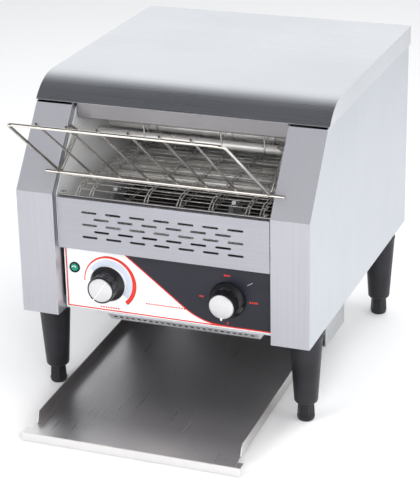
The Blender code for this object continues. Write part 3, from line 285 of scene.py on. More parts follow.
def piece_of(name, shape, look):
    """Make an object from a bmesh."""
    bmesh.ops.recalc_face_normals(shape, faces=shape.faces)
    mesh = bpy.data.meshes.new(name)
    shape.to_mesh(mesh)
    shape.free()
    made = bpy.data.objects.new(name, mesh)
    bpy.context.scene.collection.objects.link(made)
    if look is not None:
        mesh.materials.append(look)
    return made


def prism(name, loop, travel, look=None):
    """Extrude a flat closed loop of world points along a vector."""
    shape = bmesh.new()
    face = shape.faces.new([shape.verts.new(point) for point in loop])
    grown = bmesh.ops.extrude_face_region(shape, geom=[face])
    moved = [item for item in grown["geom"] if isinstance(item, bmesh.types.BMVert)]
    bmesh.ops.translate(shape, vec=travel, verts=moved)
    return piece_of(name, shape, look)


def side_prism(name, profile, low_x, high_x, look=None):
    """Extrude a (back, z) profile between two X planes."""
    return prism(name, [(low_x, row_y(back), z) for back, z in profile], (high_x - low_x, 0, 0), look)


def front_prism(name, profile, low_back, high_back, look=None):
    """Extrude an (x, z) profile between two depths."""
    return prism(name, [(x, row_y(low_back), z) for x, z in profile], (0, high_back - low_back, 0), look)


def box_prism(name, low, high, look=None):
    """A box between two (x, back, z) corners."""
    corners = [(low[0], low[2]), (high[0], low[2]), (high[0], high[2]), (low[0], high[2])]
    return front_prism(name, corners, low[1], high[1], look)


def bake(piece):
    """Apply every modifier of a piece."""
    bpy.context.view_layer.update()
    evaluated = piece.evaluated_get(bpy.context.evaluated_depsgraph_get())
    mesh = bpy.data.meshes.new_from_object(evaluated)
    piece.modifiers.clear()
    piece.data = mesh
    return piece


def cut(piece, tools, operation="DIFFERENCE"):
    """Cut tools away from a piece, or join them to it, and remove the tools."""
    for tool in tools:
        boolean = piece.modifiers.new("cut", "BOOLEAN")
        boolean.operation = operation
        boolean.solver = "EXACT"
        boolean.object = tool
    bake(piece)
    for tool in tools:
        bpy.data.objects.remove(tool, do_unlink=True)
    return piece


def merged(name, items, look=None):
    """Join separate objects into one, as they stand."""
    shape = bmesh.new()
    bpy.context.view_layer.update()
    for item in items:
        first = len(shape.verts)
        shape.from_mesh(item.data)
        shape.verts.ensure_lookup_table()
        bmesh.ops.transform(shape, matrix=item.matrix_world, verts=shape.verts[first:])
        bpy.data.objects.remove(item, do_unlink=True)
    return piece_of(name, shape, look)


def softened(piece, width=0.0004, segments=2, angle=32):
    """Round a solid's edges a little and shade it evenly."""
    bevel = piece.modifiers.new("edges", "BEVEL")
    bevel.width = width
    bevel.segments = segments
    bevel.limit_method = "ANGLE"
    bevel.angle_limit = math.radians(angle)
    bevel.use_clamp_overlap = True
    bake(piece)
    piece.data.shade_smooth()
    even = piece.modifiers.new("even_normals", "WEIGHTED_NORMAL")
    even.keep_sharp = True
    even.weight = 80
    return piece


def rode(piece, body, slot, *nodes):
    """Ride a piece on a body and hide the imported parts it stands for; the slot is not used."""
    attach(piece, body)
    if nodes:
        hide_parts(*nodes)
    return piece


def arc(centre, radius, start, end, steps):
    """Points along an arc in a plane."""
    return [(centre[0] + radius * math.cos(start + (end - start) * i / steps),
             centre[1] + radius * math.sin(start + (end - start) * i / steps)) for i in range(steps + 1)]


def rounded(points, radius, steps=6):
    """Replace each inner corner of a path by a smooth bend."""
    path = [Vector(points[0])]
    for before, corner, after in zip(points, points[1:], points[2:]):
        corner = Vector(corner)
        start = corner + (Vector(before) - corner).normalized() * radius
        end = corner + (Vector(after) - corner).normalized() * radius
        for i in range(steps + 1):
            t = i / steps
            path.append((1 - t) ** 2 * start + 2 * t * (1 - t) * corner + t ** 2 * end)
    path.append(Vector(points[-1]))
    return path


def ribbon(profile, half_width, thickness, name, look, radius=0.0012):
    """Folded sheet along a (back, z) profile with rounded folds, thickened behind or below it."""
    path = rounded([(back, z) for back, z in profile], radius, 4)
    shape = bmesh.new()
    rows = [[shape.verts.new((side * half_width, row_y(p[0]), p[1])) for side in SIDES] for p in path]
    for first, second in zip(rows, rows[1:]):
        shape.faces.new((first[0], first[1], second[1], second[0]))
    mesh = bpy.data.meshes.new(name)
    shape.to_mesh(mesh)
    shape.free()
    mesh.materials.append(look)
    made = bpy.data.objects.new(name, mesh)
    bpy.context.scene.collection.objects.link(made)
    solid = made.modifiers.new("thickness", "SOLIDIFY")
    solid.thickness = thickness
    solid.offset = -1.0
    return bake(made)


AXES = {"Z": Matrix.Identity(4), "Y": Matrix.Rotation(math.radians(90), 4, "X"),
        "X": Matrix.Rotation(math.radians(90), 4, "Y"), "-Y": Matrix.Rotation(math.radians(-90), 4, "X")}


def turned(name, profile, centre, axis, look, steps=48):
    """Turn a (radius, height) profile; axis Y points its height to the front."""
    shape = bmesh.new()
    ring = [shape.verts.new((radius, 0.0, height)) for radius, height in profile]
    edges = [shape.edges.new(pair) for pair in zip(ring, ring[1:])]
    bmesh.ops.spin(shape, geom=ring + edges, cent=(0, 0, 0), axis=(0, 0, 1), angle=2 * math.pi,
                   steps=steps, use_merge=True)
    bmesh.ops.remove_doubles(shape, verts=shape.verts, dist=WELD)
    bmesh.ops.transform(shape, matrix=Matrix.Translation(centre) @ AXES[axis], verts=shape.verts)
    made = piece_of(name, shape, look)
    made.data.shade_smooth()
    made.data.set_sharp_from_angle(angle=math.radians(40))
    return made


def loft(name, rows, look, sharp, capped=False):
    """Skin closed rows of points one after another, filling both ends when capped."""
    shape = bmesh.new()
    loops = [[shape.verts.new(point) for point in row] for row in rows]
    for first, second in zip(loops, loops[1:]):
        for i in range(len(first)):
            follow = (i + 1) % len(first)
            shape.faces.new((first[i], first[follow], second[follow], second[i]))
    if capped:
        shape.faces.new(loops[0])
        shape.faces.new(loops[-1])
    bmesh.ops.remove_doubles(shape, verts=shape.verts, dist=WELD)
    made = piece_of(name, shape, look)
    made.data.shade_smooth()
    made.data.set_sharp_from_angle(angle=math.radians(sharp))
    return made


def wires(name, paths, radius, look, resolution=3):
    """Round wires along lists of world points, as one curve object turned into a mesh."""
    curve = bpy.data.curves.new(name, "CURVE")
    curve.dimensions = "3D"
    curve.bevel_depth = radius
    curve.bevel_resolution = resolution
    curve.use_fill_caps = True
    for path in paths:
        spline = curve.splines.new("POLY")
        spline.points.add(len(path) - 1)
        for point, place in zip(spline.points, path):
            point.co = (*place, 1.0)
    holder = bpy.data.objects.new(name, curve)
    bpy.context.scene.collection.objects.link(holder)
    bpy.context.view_layer.update()
    mesh = bpy.data.meshes.new_from_object(holder.evaluated_get(bpy.context.evaluated_depsgraph_get()))
    bpy.data.objects.remove(holder, do_unlink=True)
    made = bpy.data.objects.new(name, mesh)
    bpy.context.scene.collection.objects.link(made)
    mesh.materials.clear()
    mesh.materials.append(look)
    mesh.shade_smooth()
    return made


# ---------------------------------------------------------------- casing


def cover_profile(inset, steps=30):
    """Upper outline over the rounded front edge."""
    middle = (SEAM_BACK + ARC_RADIUS * math.sin(ARC_TURN), TOP_Z - ARC_RADIUS)
    return arc(middle, ARC_RADIUS - inset, math.pi / 2 + ARC_TURN, math.pi / 2, steps)


def slant_inset(inset):
    """Bend and upper end of the column line, set back by a distance."""
    bend_z = BEND_Z - inset * math.tan((math.pi / 2 - SLOPE) / 2)
    return (inset, bend_z), (SEAM_BACK + inset * math.sin(SLOPE), SEAM_Z - inset * math.cos(SLOPE))


def top_cover():
    """Cover sheet with a long rounded front edge and a flange down each side."""
    rear = REAR_Y - FRONT_Y
    flange_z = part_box("top_cover")[0].z
    outer = cover_profile(0.0) + [(rear, TOP_Z), (rear, flange_z)]
    cover = side_prism("top_cover_sheet", outer, -HALF, HALF, COVER_STEEL)
    inner = [(SEAM_BACK + SEAM_STEP, flange_z - OVERRUN)] + cover_profile(SHEET)
    inner += [(rear - SHEET, TOP_Z - SHEET), (rear - SHEET, flange_z - OVERRUN)]
    cut(cover, [side_prism("hollow", inner, -HALF + SHEET, HALF - SHEET)])
    return rode(softened(cover, 0.0006, 3), CASING, "stainless", "top_cover")


def side_panel(name, side):
    """Side sheet, front column, inner return and bottom flange."""
    low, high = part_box(name)
    rear = high.y - FRONT_Y
    outer_x = max(abs(low.x), abs(high.x))
    inner_x = min(abs(low.x), abs(high.x))
    return_depth = 0.020

    def between(first, second):
        return sorted((side * first, side * second))

    cut_z = SEAM_Z - 0.001
    top = cover_profile(SEAM_STEP)
    body = [(0.0, BASE_Z), (0.0, BEND_Z), (SEAM_BACK - 0.0008, cut_z), (top[0][0], cut_z)]
    body += top + [(rear, TOP_Z - SEAM_STEP), (rear, BASE_Z)]
    panel = side_prism(name + "_sheet", body, *between(outer_x, inner_x), SIDE_STEEL)
    bend, seam = slant_inset(SHEET)
    above = TOP_Z + 2 * OVERRUN
    roof = [(rear + 2 * OVERRUN, above), (rear + 2 * OVERRUN, BASE_Z + SHEET)]
    hollow = [(SHEET, BASE_Z + SHEET), bend, (seam[0] - 0.001, seam[1] - 0.0013),
              (SEAM_BACK - 0.03, SEAM_Z - 0.0014), (SEAM_BACK - 0.03, above)] + roof
    bend, seam = slant_inset(return_depth)
    opened = [(return_depth, BASE_Z + SHEET), bend, seam, (seam[0], above)] + roof
    cavity = side_prism("cavity", hollow, *between(inner_x + SHEET, outer_x - SHEET))
    cut(panel, [cavity])
    cut(panel, [side_prism("opened", opened, *between(inner_x - OVERRUN, inner_x + SHEET * 1.5))])
    softened(panel, 0.0005)
    # Front-facing faces of the same sheet take the darker copy as painted shade.
    panel.data.materials.append(SHADED_COLUMN_STEEL)
    for face in panel.data.polygons:
        if face.normal.y < -FRONT_FACING:
            face.material_index = 1
    return rode(panel, CASING, "stainless", name)


def stadium(x, z, length, height, steps=6):
    """Outline of a slot with round ends."""
    reach = (length - height) / 2
    right = arc((x + reach, z), height / 2, -math.pi / 2, math.pi / 2, steps)
    left = arc((x - reach, z), height / 2, math.pi / 2, 3 * math.pi / 2, steps)
    return right + left


def spread(count, pitch):
    """Centres of evenly spaced items around zero."""
    return [(i - (count - 1) / 2) * pitch for i in range(count)]


VENT_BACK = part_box("front_vent_panel")[0].y - FRONT_Y
VENT_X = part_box("front_vent_panel")[1].x
VENT_HIGH_Z = 0.2655
VENT_ROWS = 5
VENT_LONG_ROW = 7
VENT_SLOT = (0.0195, 0.0027)
VENT_SLOT_PITCH = 0.0305
VENT_TOP_ROW_Z = 0.2492
VENT_ROW_PITCH = 0.0078
VENT_SHEET = 0.0010
SHELF_FRONT = VENT_BACK + 0.0062
SHELF_REAR = 0.0170


def vent_panel():
    """Slotted front sheet with a rounded top edge, and the shelf that follows it."""
    low_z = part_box("front_vent_panel")[0].z
    edge_back = VENT_BACK + 0.0045
    profile = [(VENT_BACK, low_z), (VENT_BACK, VENT_HIGH_Z), (edge_back, VENT_HIGH_Z), (edge_back, 0.2590)]
    panel = ribbon(profile, VENT_X, VENT_SHEET, "vent_panel_sheet", PANEL_STEEL)
    slots = []
    for row in range(VENT_ROWS):
        for x in spread(VENT_LONG_ROW - row % 2, VENT_SLOT_PITCH):
            slot = stadium(x, VENT_TOP_ROW_Z - row * VENT_ROW_PITCH, *VENT_SLOT)
            slots.append(front_prism("slot", slot, VENT_BACK - OVERRUN, VENT_BACK + 0.003))
    cut(panel, [merged("slots", slots)])
    rode(softened(panel, 0.0002, 1), CASING, "stainless", "front_vent_panel")
    shelf_profile = [(SHELF_FRONT, 0.2600), (SHELF_FRONT, 0.2672), (SHELF_REAR, 0.2662), (SHELF_REAR, 0.2580)]
    shelf = ribbon(shelf_profile, VENT_X, VENT_SHEET, "entry_shelf_sheet", SHELF_STEEL)
    rode(softened(shelf, 0.0002, 1), CASING, "stainless", "front_vent_panel")


def vent_guard():
    """Perforated guard below the casing with a slanted front and square holes."""
    low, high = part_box("bottom_vent_guard")
    front, rear = low.y - FRONT_Y, high.y - FRONT_Y
    slant = 0.012
    wide, narrow = high.x, 0.098

    def section(inset, top):
        corner = slant + inset * 0.4
        return [(front + inset, top), (front + inset, low.z + corner), (front + corner, low.z + inset),
                (rear - inset, low.z + inset), (rear - inset, top)]

    guard = side_prism("vent_guard_box", section(0.0, high.z), -wide, wide, GUARD_STEEL)
    for vertex in guard.data.vertices:
        if vertex.co.z < high.z - OVERRUN:
            vertex.co.x *= narrow / wide
    cut(guard, [side_prism("hollow", section(SHEET, high.z + OVERRUN), -narrow + 0.002, narrow - 0.002)])
    centre = Vector((0.0, row_y(front + slant / 2), low.z + slant / 2))
    half, reach = 0.0023, 0.007
    columns = spread(24, 0.0078)
    holes = []
    for x in columns:
        hole = box_prism("hole", (-half, -reach - FRONT_Y, -0.0026), (half, reach - FRONT_Y, 0.0026))
        turn = Matrix.Rotation(math.radians(45), 4, "X")
        hole.matrix_world = Matrix.Translation(centre + Vector((x, 0, 0))) @ turn
        holes.append(hole)
    for x in columns:
        for row in range(4):
            back = front + slant + 0.018 + row * 0.012
            near, far = (x - half, back, low.z - OVERRUN), (x + half, back + 2 * half, low.z + 0.006)
            holes.append(box_prism("hole", near, far))
    cut(guard, [merged("holes", holes)])
    softened(guard, 0.00025, 1)
    # Upward inner faces of the guard, under the casing, take near-black steel as painted shade.
    guard.data.materials.append(SCORCHED_AND_SHADED_STEEL)
    for face in guard.data.polygons:
        if face.normal.z > FRONT_FACING and face.center.z < high.z - 0.003:
            face.material_index = 1
    rode(guard, CASING, "zinc_steel", "bottom_vent_guard")


top_cover()
side_panel("left_side_panel", -1)
side_panel("right_side_panel", 1)
vent_panel()
vent_guard()

# ---------------------------------------------------------------- control panel print

FILM_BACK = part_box("control_overlay")[0].y - FRONT_Y
FILM_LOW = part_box("control_overlay")[0].z
FILM_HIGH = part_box("control_overlay")[1].z
FILM_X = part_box("control_overlay")[1].x
KNOB_X = (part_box("selector_knob")[0].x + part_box("selector_knob")[1].x) / 2
KNOB_Z = (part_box("selector_knob")[0].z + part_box("selector_knob")[1].z) / 2
LAMP_X = (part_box("pilot_lamp")[0].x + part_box("pilot_lamp")[1].x) / 2
LAMP_Z = (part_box("pilot_lamp")[0].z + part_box("pilot_lamp")[1].z) / 2
INK = 0.00006
LINE = 0.0016
STEM_HOLE = 0.005
LAMP_HOLE = 0.0058
FRAME_X = -FILM_X + 0.0018
DARK_X = FILM_X - 0.0002
PRINT_HIGH = FILM_HIGH - 0.0004


def ring_hole(x, z, radius):
    """Round cutter through the film."""
    return front_prism("hole", arc((x, z), radius, 0, 2 * math.pi * 31 / 32, 31), FILM_BACK - 0.005,
                       FILM_BACK + 0.003)


def stem_holes():
    """Cutters where the knob stems and the lamp pass."""
    stems = [ring_hole(side * KNOB_X, KNOB_Z, STEM_HOLE) for side in SIDES]
    return stems + [ring_hole(LAMP_X, LAMP_Z, LAMP_HOLE)]


def ink(name, outline, layer, look):
    """A printed area as a very thin plate; higher layers lie further out."""
    face = FILM_BACK - INK * layer
    return rode(front_prism(name, outline, face - INK, face, look), CASING, "printed_overlay")


def border_curve(shift):
    """Edge between the white and the dark field: slanted, then swinging into the lower edge."""
    top = Vector((-0.0555, FILM_HIGH - 0.0006))
    knee = Vector((0.0440, 0.1205))
    end = Vector((0.0740, FILM_LOW + 0.002))
    start = knee + (top - knee).normalized() * 0.030
    points = [top] + [(1 - t) ** 2 * start + 2 * t * (1 - t) * knee + t ** 2 * end for t in
                      (i / 12 for i in range(13))]
    moved = []
    for index, point in enumerate(points):
        before, after = points[max(index - 1, 0)], points[min(index + 1, len(points) - 1)]
        along = (after - before).normalized()
        moved.append((point.x - along.y * shift, point.y + along.x * shift))
    return moved


def control_print():
    """White and charcoal fields with red border lines, dial arc and generic marks."""
    corners = [(-FILM_X, FILM_LOW), (FILM_X, FILM_LOW), (FILM_X, FILM_HIGH), (-FILM_X, FILM_HIGH)]
    film = front_prism("overlay_film", corners, FILM_BACK, FILM_BACK + 0.0005, FILM_WHITE)
    rode(cut(film, [merged("holes", stem_holes())]), CASING, "printed_overlay", "control_overlay")
    dark = border_curve(0.0) + [(DARK_X, FILM_LOW + 0.002), (DARK_X, PRINT_HIGH)]
    field = ink("overlay_dark_field", dark, 0, INK_CHARCOAL)
    cut(field, [ring_hole(KNOB_X, KNOB_Z, STEM_HOLE)])
    ink("overlay_red_slant", border_curve(-LINE / 2) + border_curve(LINE / 2)[::-1], 1, INK_RED)
    low = FILM_LOW + 0.0008
    foot = [(FRAME_X, low), (DARK_X, low), (DARK_X, low + LINE), (FRAME_X, low + LINE)]
    ink("overlay_red_foot", foot, 2, INK_RED)
    edge = [(FRAME_X, low), (FRAME_X + LINE, low), (FRAME_X + LINE, PRINT_HIGH), (FRAME_X, PRINT_HIGH)]
    ink("overlay_red_side", edge, 1, INK_RED)
    centre = (-KNOB_X + 0.0025, KNOB_Z + 0.0015)
    start, end = math.radians(182), math.radians(-50)
    steps = 48
    outer, inner = [], []
    for i in range(steps + 1):
        share = i / steps
        angle = start + (end - start) * share
        width = 0.0012 + 0.0042 * min(1.0, share * 1.25) ** 1.2
        for radius, into in ((0.0330 + width / 3, outer), (0.0330 - width * 2 / 3, inner)):
            into.append((centre[0] + radius * math.cos(angle), centre[1] + radius * math.sin(angle)))
    ink("overlay_dial_arc", outer + inner[::-1], 1, INK_RED)
    start, end = math.radians(150), math.radians(-40)
    shade = arc(centre, 0.0292, start, end, 32) + arc(centre, 0.0215, end, start, 32)
    ink("overlay_dial_shade", shade, 1, INK_PALE)
    for index, (x, z, width) in enumerate(((-KNOB_X + 0.002, 0.1245, 0.026), (-0.002, 0.1365, 0.052))):
        dashes(f"overlay_dashes_{index}", x, z, width, 0.0020)
    for index, angle in enumerate((-90, 180, 90, 0)):
        x = KNOB_X + 0.0325 * math.cos(math.radians(angle))
        z = KNOB_Z + 0.0305 * math.sin(math.radians(angle))
        dashes(f"overlay_position_{index}", x, z, 0.0030 + 0.0028 * index, 0.0022)
    tick = [(KNOB_X + 0.0245, KNOB_Z + 0.0210), (KNOB_X + 0.0312, KNOB_Z + 0.0249),
            (KNOB_X + 0.0310, KNOB_Z + 0.0253), (KNOB_X + 0.0243, KNOB_Z + 0.0214)]
    ink("overlay_tick", tick, 1, INK_PALE)


def dashes(name, x, z, width, height):
    """A short row of plain blocks where a legend would stand."""
    count = max(1, round(width / 0.0032))
    pitch = width / count
    blocks = []
    for index in range(count):
        left = x - width / 2 + index * pitch
        right = left + pitch * 0.66
        below, above = z - height / 2, z + height / 2
        corners = [(left, below), (right, below), (right, above), (left, above)]
        blocks.append(front_prism("dash", corners, FILM_BACK - INK * 2, FILM_BACK - INK))
    rode(merged(name, blocks, INK_RED), CASING, "printed_overlay")


control_print()

# ---------------------------------------------------------------- knobs and lamp


def knob_grip(name, x, face, skirt_y):
    """Fluted grip; its rings are (y, radius, how far the flutes reach in)."""
    steps, flutes, flute_depth = 120, 10, 0.0019
    rings = [(skirt_y - 0.0050, 0.0172, 0.0), (skirt_y - 0.0065, 0.0170, 0.5), (face + 0.0075, 0.0166, 1.0),
             (face + 0.0045, 0.0166, 0.6), (face + 0.0030, 0.0168, 0.0), (face + 0.0012, 0.0168, 0.0),
             (face + 0.0004, 0.0163, 0.0), (face + 0.0006, 0.0157, 0.0), (face + 0.0012, 0.0156, 0.0)]
    rows = []
    for y, radius, depth in rings:
        row = []
        for i in range(steps):
            angle = 2 * math.pi * i / steps
            flute = max(0.0, math.cos(flutes * angle)) ** 0.8
            reach = radius - depth * flute_depth * flute
            row.append((x + reach * math.cos(angle), y, KNOB_Z + reach * math.sin(angle)))
        rows.append(row)
    rode(loft(name + "_grip", rows, KNOB_PLASTIC, 50, capped=True), name, "black_plastic", name)


def knob(name, x):
    """Fluted knob with a flared skirt and a bright cap."""
    low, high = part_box(name)
    face, skirt_y = low.y, low.y + 0.0225
    stem_end = skirt_y - high.y
    knob_grip(name, x, face, skirt_y)
    skirt_profile = [(0.0, 0.0072), (0.0170, 0.0072), (0.0178, 0.0066), (0.0196, 0.0048), (0.0212, 0.0030),
                     (0.0222, 0.0018), (0.0225, 0.0008), (0.0222, 0.0002), (0.0214, 0.0), (0.0035, 0.0),
                     (0.0035, stem_end), (0.0, stem_end)]
    skirt = turned(name + "_skirt", skirt_profile, (x, skirt_y, KNOB_Z), "Y", KNOB_PLASTIC, 64)
    rode(skirt, name, "black_plastic")
    cap_profile = [(0.0, 0.0009), (0.0142, 0.0008), (0.0150, 0.0005), (0.0154, 0.0), (0.0154, -0.0008),
                   (0.0, -0.0008)]
    cap = turned(name + "_cap", cap_profile, (x, face + 0.0012, KNOB_Z), "Y", CAP_SILVER, 64)
    rode(cap, name, "polished_steel")


def pointer_bar(name, body, x, angle, inner, outer, width, lift):
    """A thin white bar on a knob's face, along a radius."""
    along = Vector((math.cos(angle), 0, math.sin(angle)))
    across = Vector((-math.sin(angle), 0, math.cos(angle))) * width / 2
    centre = Vector((x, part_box(body)[0].y + lift, KNOB_Z))
    loop = [centre + along * inner - across, centre + along * outer - across,
            centre + along * outer + across, centre + along * inner + across]
    rode(prism(name, loop, (0, 0.0003, 0), FILM_WHITE), body, "polished_steel")


knob("speed_knob", -KNOB_X)
knob("selector_knob", KNOB_X)
MINIMUM = math.radians(-125)
OFF = math.radians(-90)
pointer_bar("speed_knob_line", "speed_knob", -KNOB_X, MINIMUM, -0.0138, 0.0138, 0.0005, 0.00012)
pointer_bar("speed_knob_mark", "speed_knob", -KNOB_X, MINIMUM, 0.0148, 0.0166, 0.0016, 0.00020)
pointer_bar("selector_knob_mark", "selector_knob", KNOB_X, OFF, 0.0136, 0.0168, 0.0020, 0.00012)


def pilot_lamp():
    """Dark bezel, green lens, and a pale crescent behind the lens as its painted highlight."""
    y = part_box("control_overlay")[0].y - 0.0004
    ring = [(0.0052, 0.0006), (0.0054, 0.0018), (0.0060, 0.0022), (0.0066, 0.0016), (0.0068, 0.0),
            (0.0052, 0.0), (0.0052, -0.018), (0.0, -0.018), (0.0, -0.0170), (0.0050, -0.0170),
            (0.0052, 0.0006)]
    bezel = turned("pilot_lamp_bezel", ring, (LAMP_X, y, LAMP_Z), "Y", KNOB_PLASTIC)
    rode(bezel, CASING, "black_plastic", "pilot_lamp")
    dome = [(0.0, 0.0030), (0.0020, 0.0028), (0.0038, 0.0021), (0.0049, 0.0011), (0.0050, 0.0), (0.0, 0.0)]
    lens = turned("pilot_lamp_lens", dome, (LAMP_X, y, LAMP_Z), "Y", LAMP_GREEN)
    rode(lens, CASING, "green_lens")
    # A pale crescent behind the upper half of the lens, as a painted highlight.
    glint_outline = arc((LAMP_X, LAMP_Z), 0.0030, math.radians(20), math.radians(160), 10)
    glint_outline += arc((LAMP_X, LAMP_Z), 0.0022, math.radians(160), math.radians(20), 10)
    rode(prism("pilot_lamp_painted_glint", [(px, y - 0.0032, pz) for px, pz in glint_outline], (0, 0.0012, 0), LAMP_PAINTED_HIGHLIGHT),
         CASING, "green_lens")


pilot_lamp()

# ---------------------------------------------------------------- toast tray


def toast_tray():
    """Sloping floor with a turned-down lip and hemmed walls."""
    low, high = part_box("toast_tray")
    front, rear = low.y - FRONT_Y + 0.001, high.y - FRONT_Y
    thickness, lip_x, wall_x = 0.001, high.x, 0.1285
    front_z, rear_z, wall_high = 0.0110, 0.0270, 0.013
    slope = (rear_z - front_z) / (rear - front)

    def floor_z(back):
        return front_z + slope * (back - front)

    floor = [(front, front_z), (rear, rear_z), (rear, rear_z - thickness), (front, front_z - thickness)]
    tray = side_prism("tray_sheet", floor, -wall_x, wall_x, TRAY_STEEL)
    lip = box_prism("lip", (-lip_x, front - thickness, 0.0), (lip_x, front + 0.0003, front_z))
    deck = box_prism("deck", (-lip_x, front, front_z - thickness), (lip_x, front + 0.012, front_z + 0.0003))
    tools = [lip, deck]
    start, end = -0.087, 0.281
    for side in SIDES:
        wall = [(start, floor_z(start) - thickness / 2), (start + 0.004, floor_z(start) + wall_high * 0.8),
                (start + 0.007, floor_z(start) + wall_high), (end, floor_z(end) + wall_high),
                (end, floor_z(end) - thickness / 2)]
        tools.append(side_prism("wall", wall, *sorted((side * (wall_x - thickness), side * wall_x))))
    cut(tray, tools, "UNION")
    rode(softened(tray, 0.0003, 2), "tray", "dark_steel", "toast_tray")
    hems = []
    for side in SIDES:
        x = side * (wall_x - thickness / 2)
        hems.append([(x, row_y(start + 0.006), floor_z(start) + wall_high),
                     (x, row_y(end), floor_z(end) + wall_high)])
    rode(wires("tray_wall_hems", hems, 0.0009, TRAY_STEEL), "tray", "dark_steel")


toast_tray()

# ---------------------------------------------------------------- legs and feet


def leg(name):
    """Tapered leg with a soft collar and a bore for the foot's stem."""
    low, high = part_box(name)
    top, foot_z = high.z, low.z
    bore, bore_top = 0.0046, low.z + 0.036
    profile = [(0.0, top), (0.0193, top), (0.0201, top - 0.0010), (0.0204, top - 0.0035),
               (0.0196, top - 0.0050), (0.0193, top - 0.0120), (0.0144, foot_z + 0.0030),
               (0.0139, foot_z + 0.0012), (0.0128, foot_z), (bore, foot_z), (bore, bore_top), (0.0, bore_top)]
    centre = ((low.x + high.x) / 2, (low.y + high.y) / 2, 0.0)
    rode(turned(name + "_moulding", profile, centre, "Z", LEG_PLASTIC), CASING, "black_plastic", name)


def foot(name, body, leg_name):
    """Levelling foot with a six-sided grip; its rings are (radius, z, how hexagonal)."""
    low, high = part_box(leg_name)
    x, y = (low.x + high.x) / 2, (low.y + high.y) / 2
    high_z = low.z - 0.0004
    stem, stem_top = 0.0040, high_z + 0.028
    rings = [(0.0, 0.0, 0.0), (0.0088, 0.0, 0.0), (0.0100, 0.0012, 0.0), (0.0108, 0.0052, 0.0),
             (0.0110, 0.0068, 1.0), (0.0108, 0.0120, 1.0), (0.0102, high_z - 0.0015, 1.0),
             (0.0092, high_z, 0.4), (stem, high_z, 0.0), (stem, stem_top, 0.0), (0.0, stem_top, 0.0)]
    steps, sixth = 48, math.pi / 3
    rows = []
    for radius, z, hexed in rings:
        row = []
        for i in range(steps):
            angle = 2 * math.pi * i / steps
            flat = math.cos(sixth / 2) / math.cos(angle % sixth - sixth / 2)
            reach = radius * (1 - hexed + hexed * max(flat, 0.90))
            row.append((x + reach * math.cos(angle), y + reach * math.sin(angle), z))
        rows.append(row)
    rode(loft(name + "_moulding", rows, LEG_PLASTIC, 28), body, "black_plastic", name)


for place in ("front", "rear"):
    for hand in ("left", "right"):
        corner = f"{place}_{hand}"
        leg(f"{corner}_leg")
        foot(f"{corner}_foot", f"{corner}_leveller", f"{corner}_leg")

# ---------------------------------------------------------------- loading rack

RACK_UPPER = (-0.119, 0.395)
RACK_LOWER = (0.0148, 0.2934)
RACK_HOOK = ((0.048, 0.340), (0.068, 0.328))
RACK_ARM_X = 0.1300
RACK_RAIL_X = 0.1485
RACK_UPPER_X = 0.1255


def loading_rack():
    """Bent frame wire, two lower rails and six slanted rods, welded where they cross."""
    ux, uz = RACK_LOWER[0] - RACK_UPPER[0], RACK_LOWER[1] - RACK_UPPER[1]
    length = math.hypot(ux, uz)
    ux, uz = ux / length, uz / length

    def at(x, back, z):
        return Vector((x, row_y(back), z))

    hook_end, hook_bend = RACK_HOOK
    half = [at(RACK_ARM_X, *hook_end), at(RACK_ARM_X, *hook_bend), at(RACK_ARM_X, *RACK_LOWER),
            at(RACK_UPPER_X, *RACK_UPPER)]
    other = [Vector((-p.x, p.y, p.z)) for p in reversed(half)]
    thick = [rounded(half + other, 0.0065, 8), [at(-RACK_RAIL_X, *RACK_LOWER), at(RACK_RAIL_X, *RACK_LOWER)]]
    second = (RACK_LOWER[0] + ux * 0.0055, RACK_LOWER[1] + uz * 0.0055)
    thin = [[at(-0.127, *second), at(0.127, *second)]]
    lift = 0.0026
    rods = 6
    for x in spread(rods, 2 * RACK_UPPER_X / (rods + 1)):
        start = (RACK_UPPER[0] - ux * 0.004 - uz * lift, RACK_UPPER[1] - uz * 0.004 + ux * lift)
        end = (second[0] - uz * lift * 0.8, second[1] + ux * lift * 0.8)
        thin.append(rounded([at(x, *start), at(x, *end), at(x, end[0] + 0.001, end[1] - 0.004)], 0.002, 4))
    frame_wire = wires("rack_frame_wire", thick, 0.002, RACK_WIRE, 4)
    rode(frame_wire, "loading_rack", "chromed_wire", "wire_rack")
    rode(wires("rack_rods", thin, 0.0015, RACK_WIRE), "loading_rack", "chromed_wire")


loading_rack()

# ---------------------------------------------------------------- belt and heaters


BELT_RADIUS = 0.0008
BELT_PITCH = 0.0127
BELT_JOINTS = (-0.1155, -0.098, -0.028, 0.013, 0.053, 0.098, 0.1155)


def wire_belt():
    """Flat-flex belt: straight cross wires, each hooked over the next at every joint line."""
    low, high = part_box("conveyor_belt")
    outer = (high.z - low.z) / 2
    radius = outer - BELT_RADIUS
    centre_z = (high.z + low.z) / 2
    front, rear = low.y + outer, high.y - outer
    run, turn = rear - front, math.pi * radius
    pitches = round(2 * (run + turn) / BELT_PITCH)
    pitch = 2 * (run + turn) / pitches

    def point(distance, x, lift):
        s = distance % (2 * (run + turn))
        reach = radius + lift
        if s < run:
            return Vector((x, front + s, centre_z + reach))
        if s < run + turn:
            angle = math.pi / 2 - (s - run) / radius
            return Vector((x, rear + reach * math.cos(angle), centre_z + reach * math.sin(angle)))
        if s < 2 * run + turn:
            return Vector((x, rear - (s - run - turn), centre_z - reach))
        angle = -math.pi / 2 - (s - 2 * run - turn) / radius
        return Vector((x, front + reach * math.cos(angle), centre_z + reach * math.sin(angle)))

    half = 0.0019
    edge = high.x - 0.001
    hook = ((0.0, -half, 0.0), (0.55, -half, 0.0004), (1.12, -half * 0.9, 0.0009),
            (1.12, half * 0.9, 0.0009), (0.55, half, 0.0004), (0.0, half, 0.0))
    paths = []
    for index in range(pitches):
        s = index * pitch
        path = [point(s + pitch * 0.5, -edge, 0.0), point(s, -edge, 0.0)]
        for joint in BELT_JOINTS:
            path += [point(s + pitch * share, joint + across, lift) for share, across, lift in hook]
        path += [point(s, edge, 0.0), point(s + pitch * 0.5, edge, 0.0)]
        paths.append(path)
    rode(wires("belt_wires", paths, 0.0007, BELT_WIRE, 1), CASING, "chromed_wire", "conveyor_belt")


HEATER_RADIUS = 0.0055


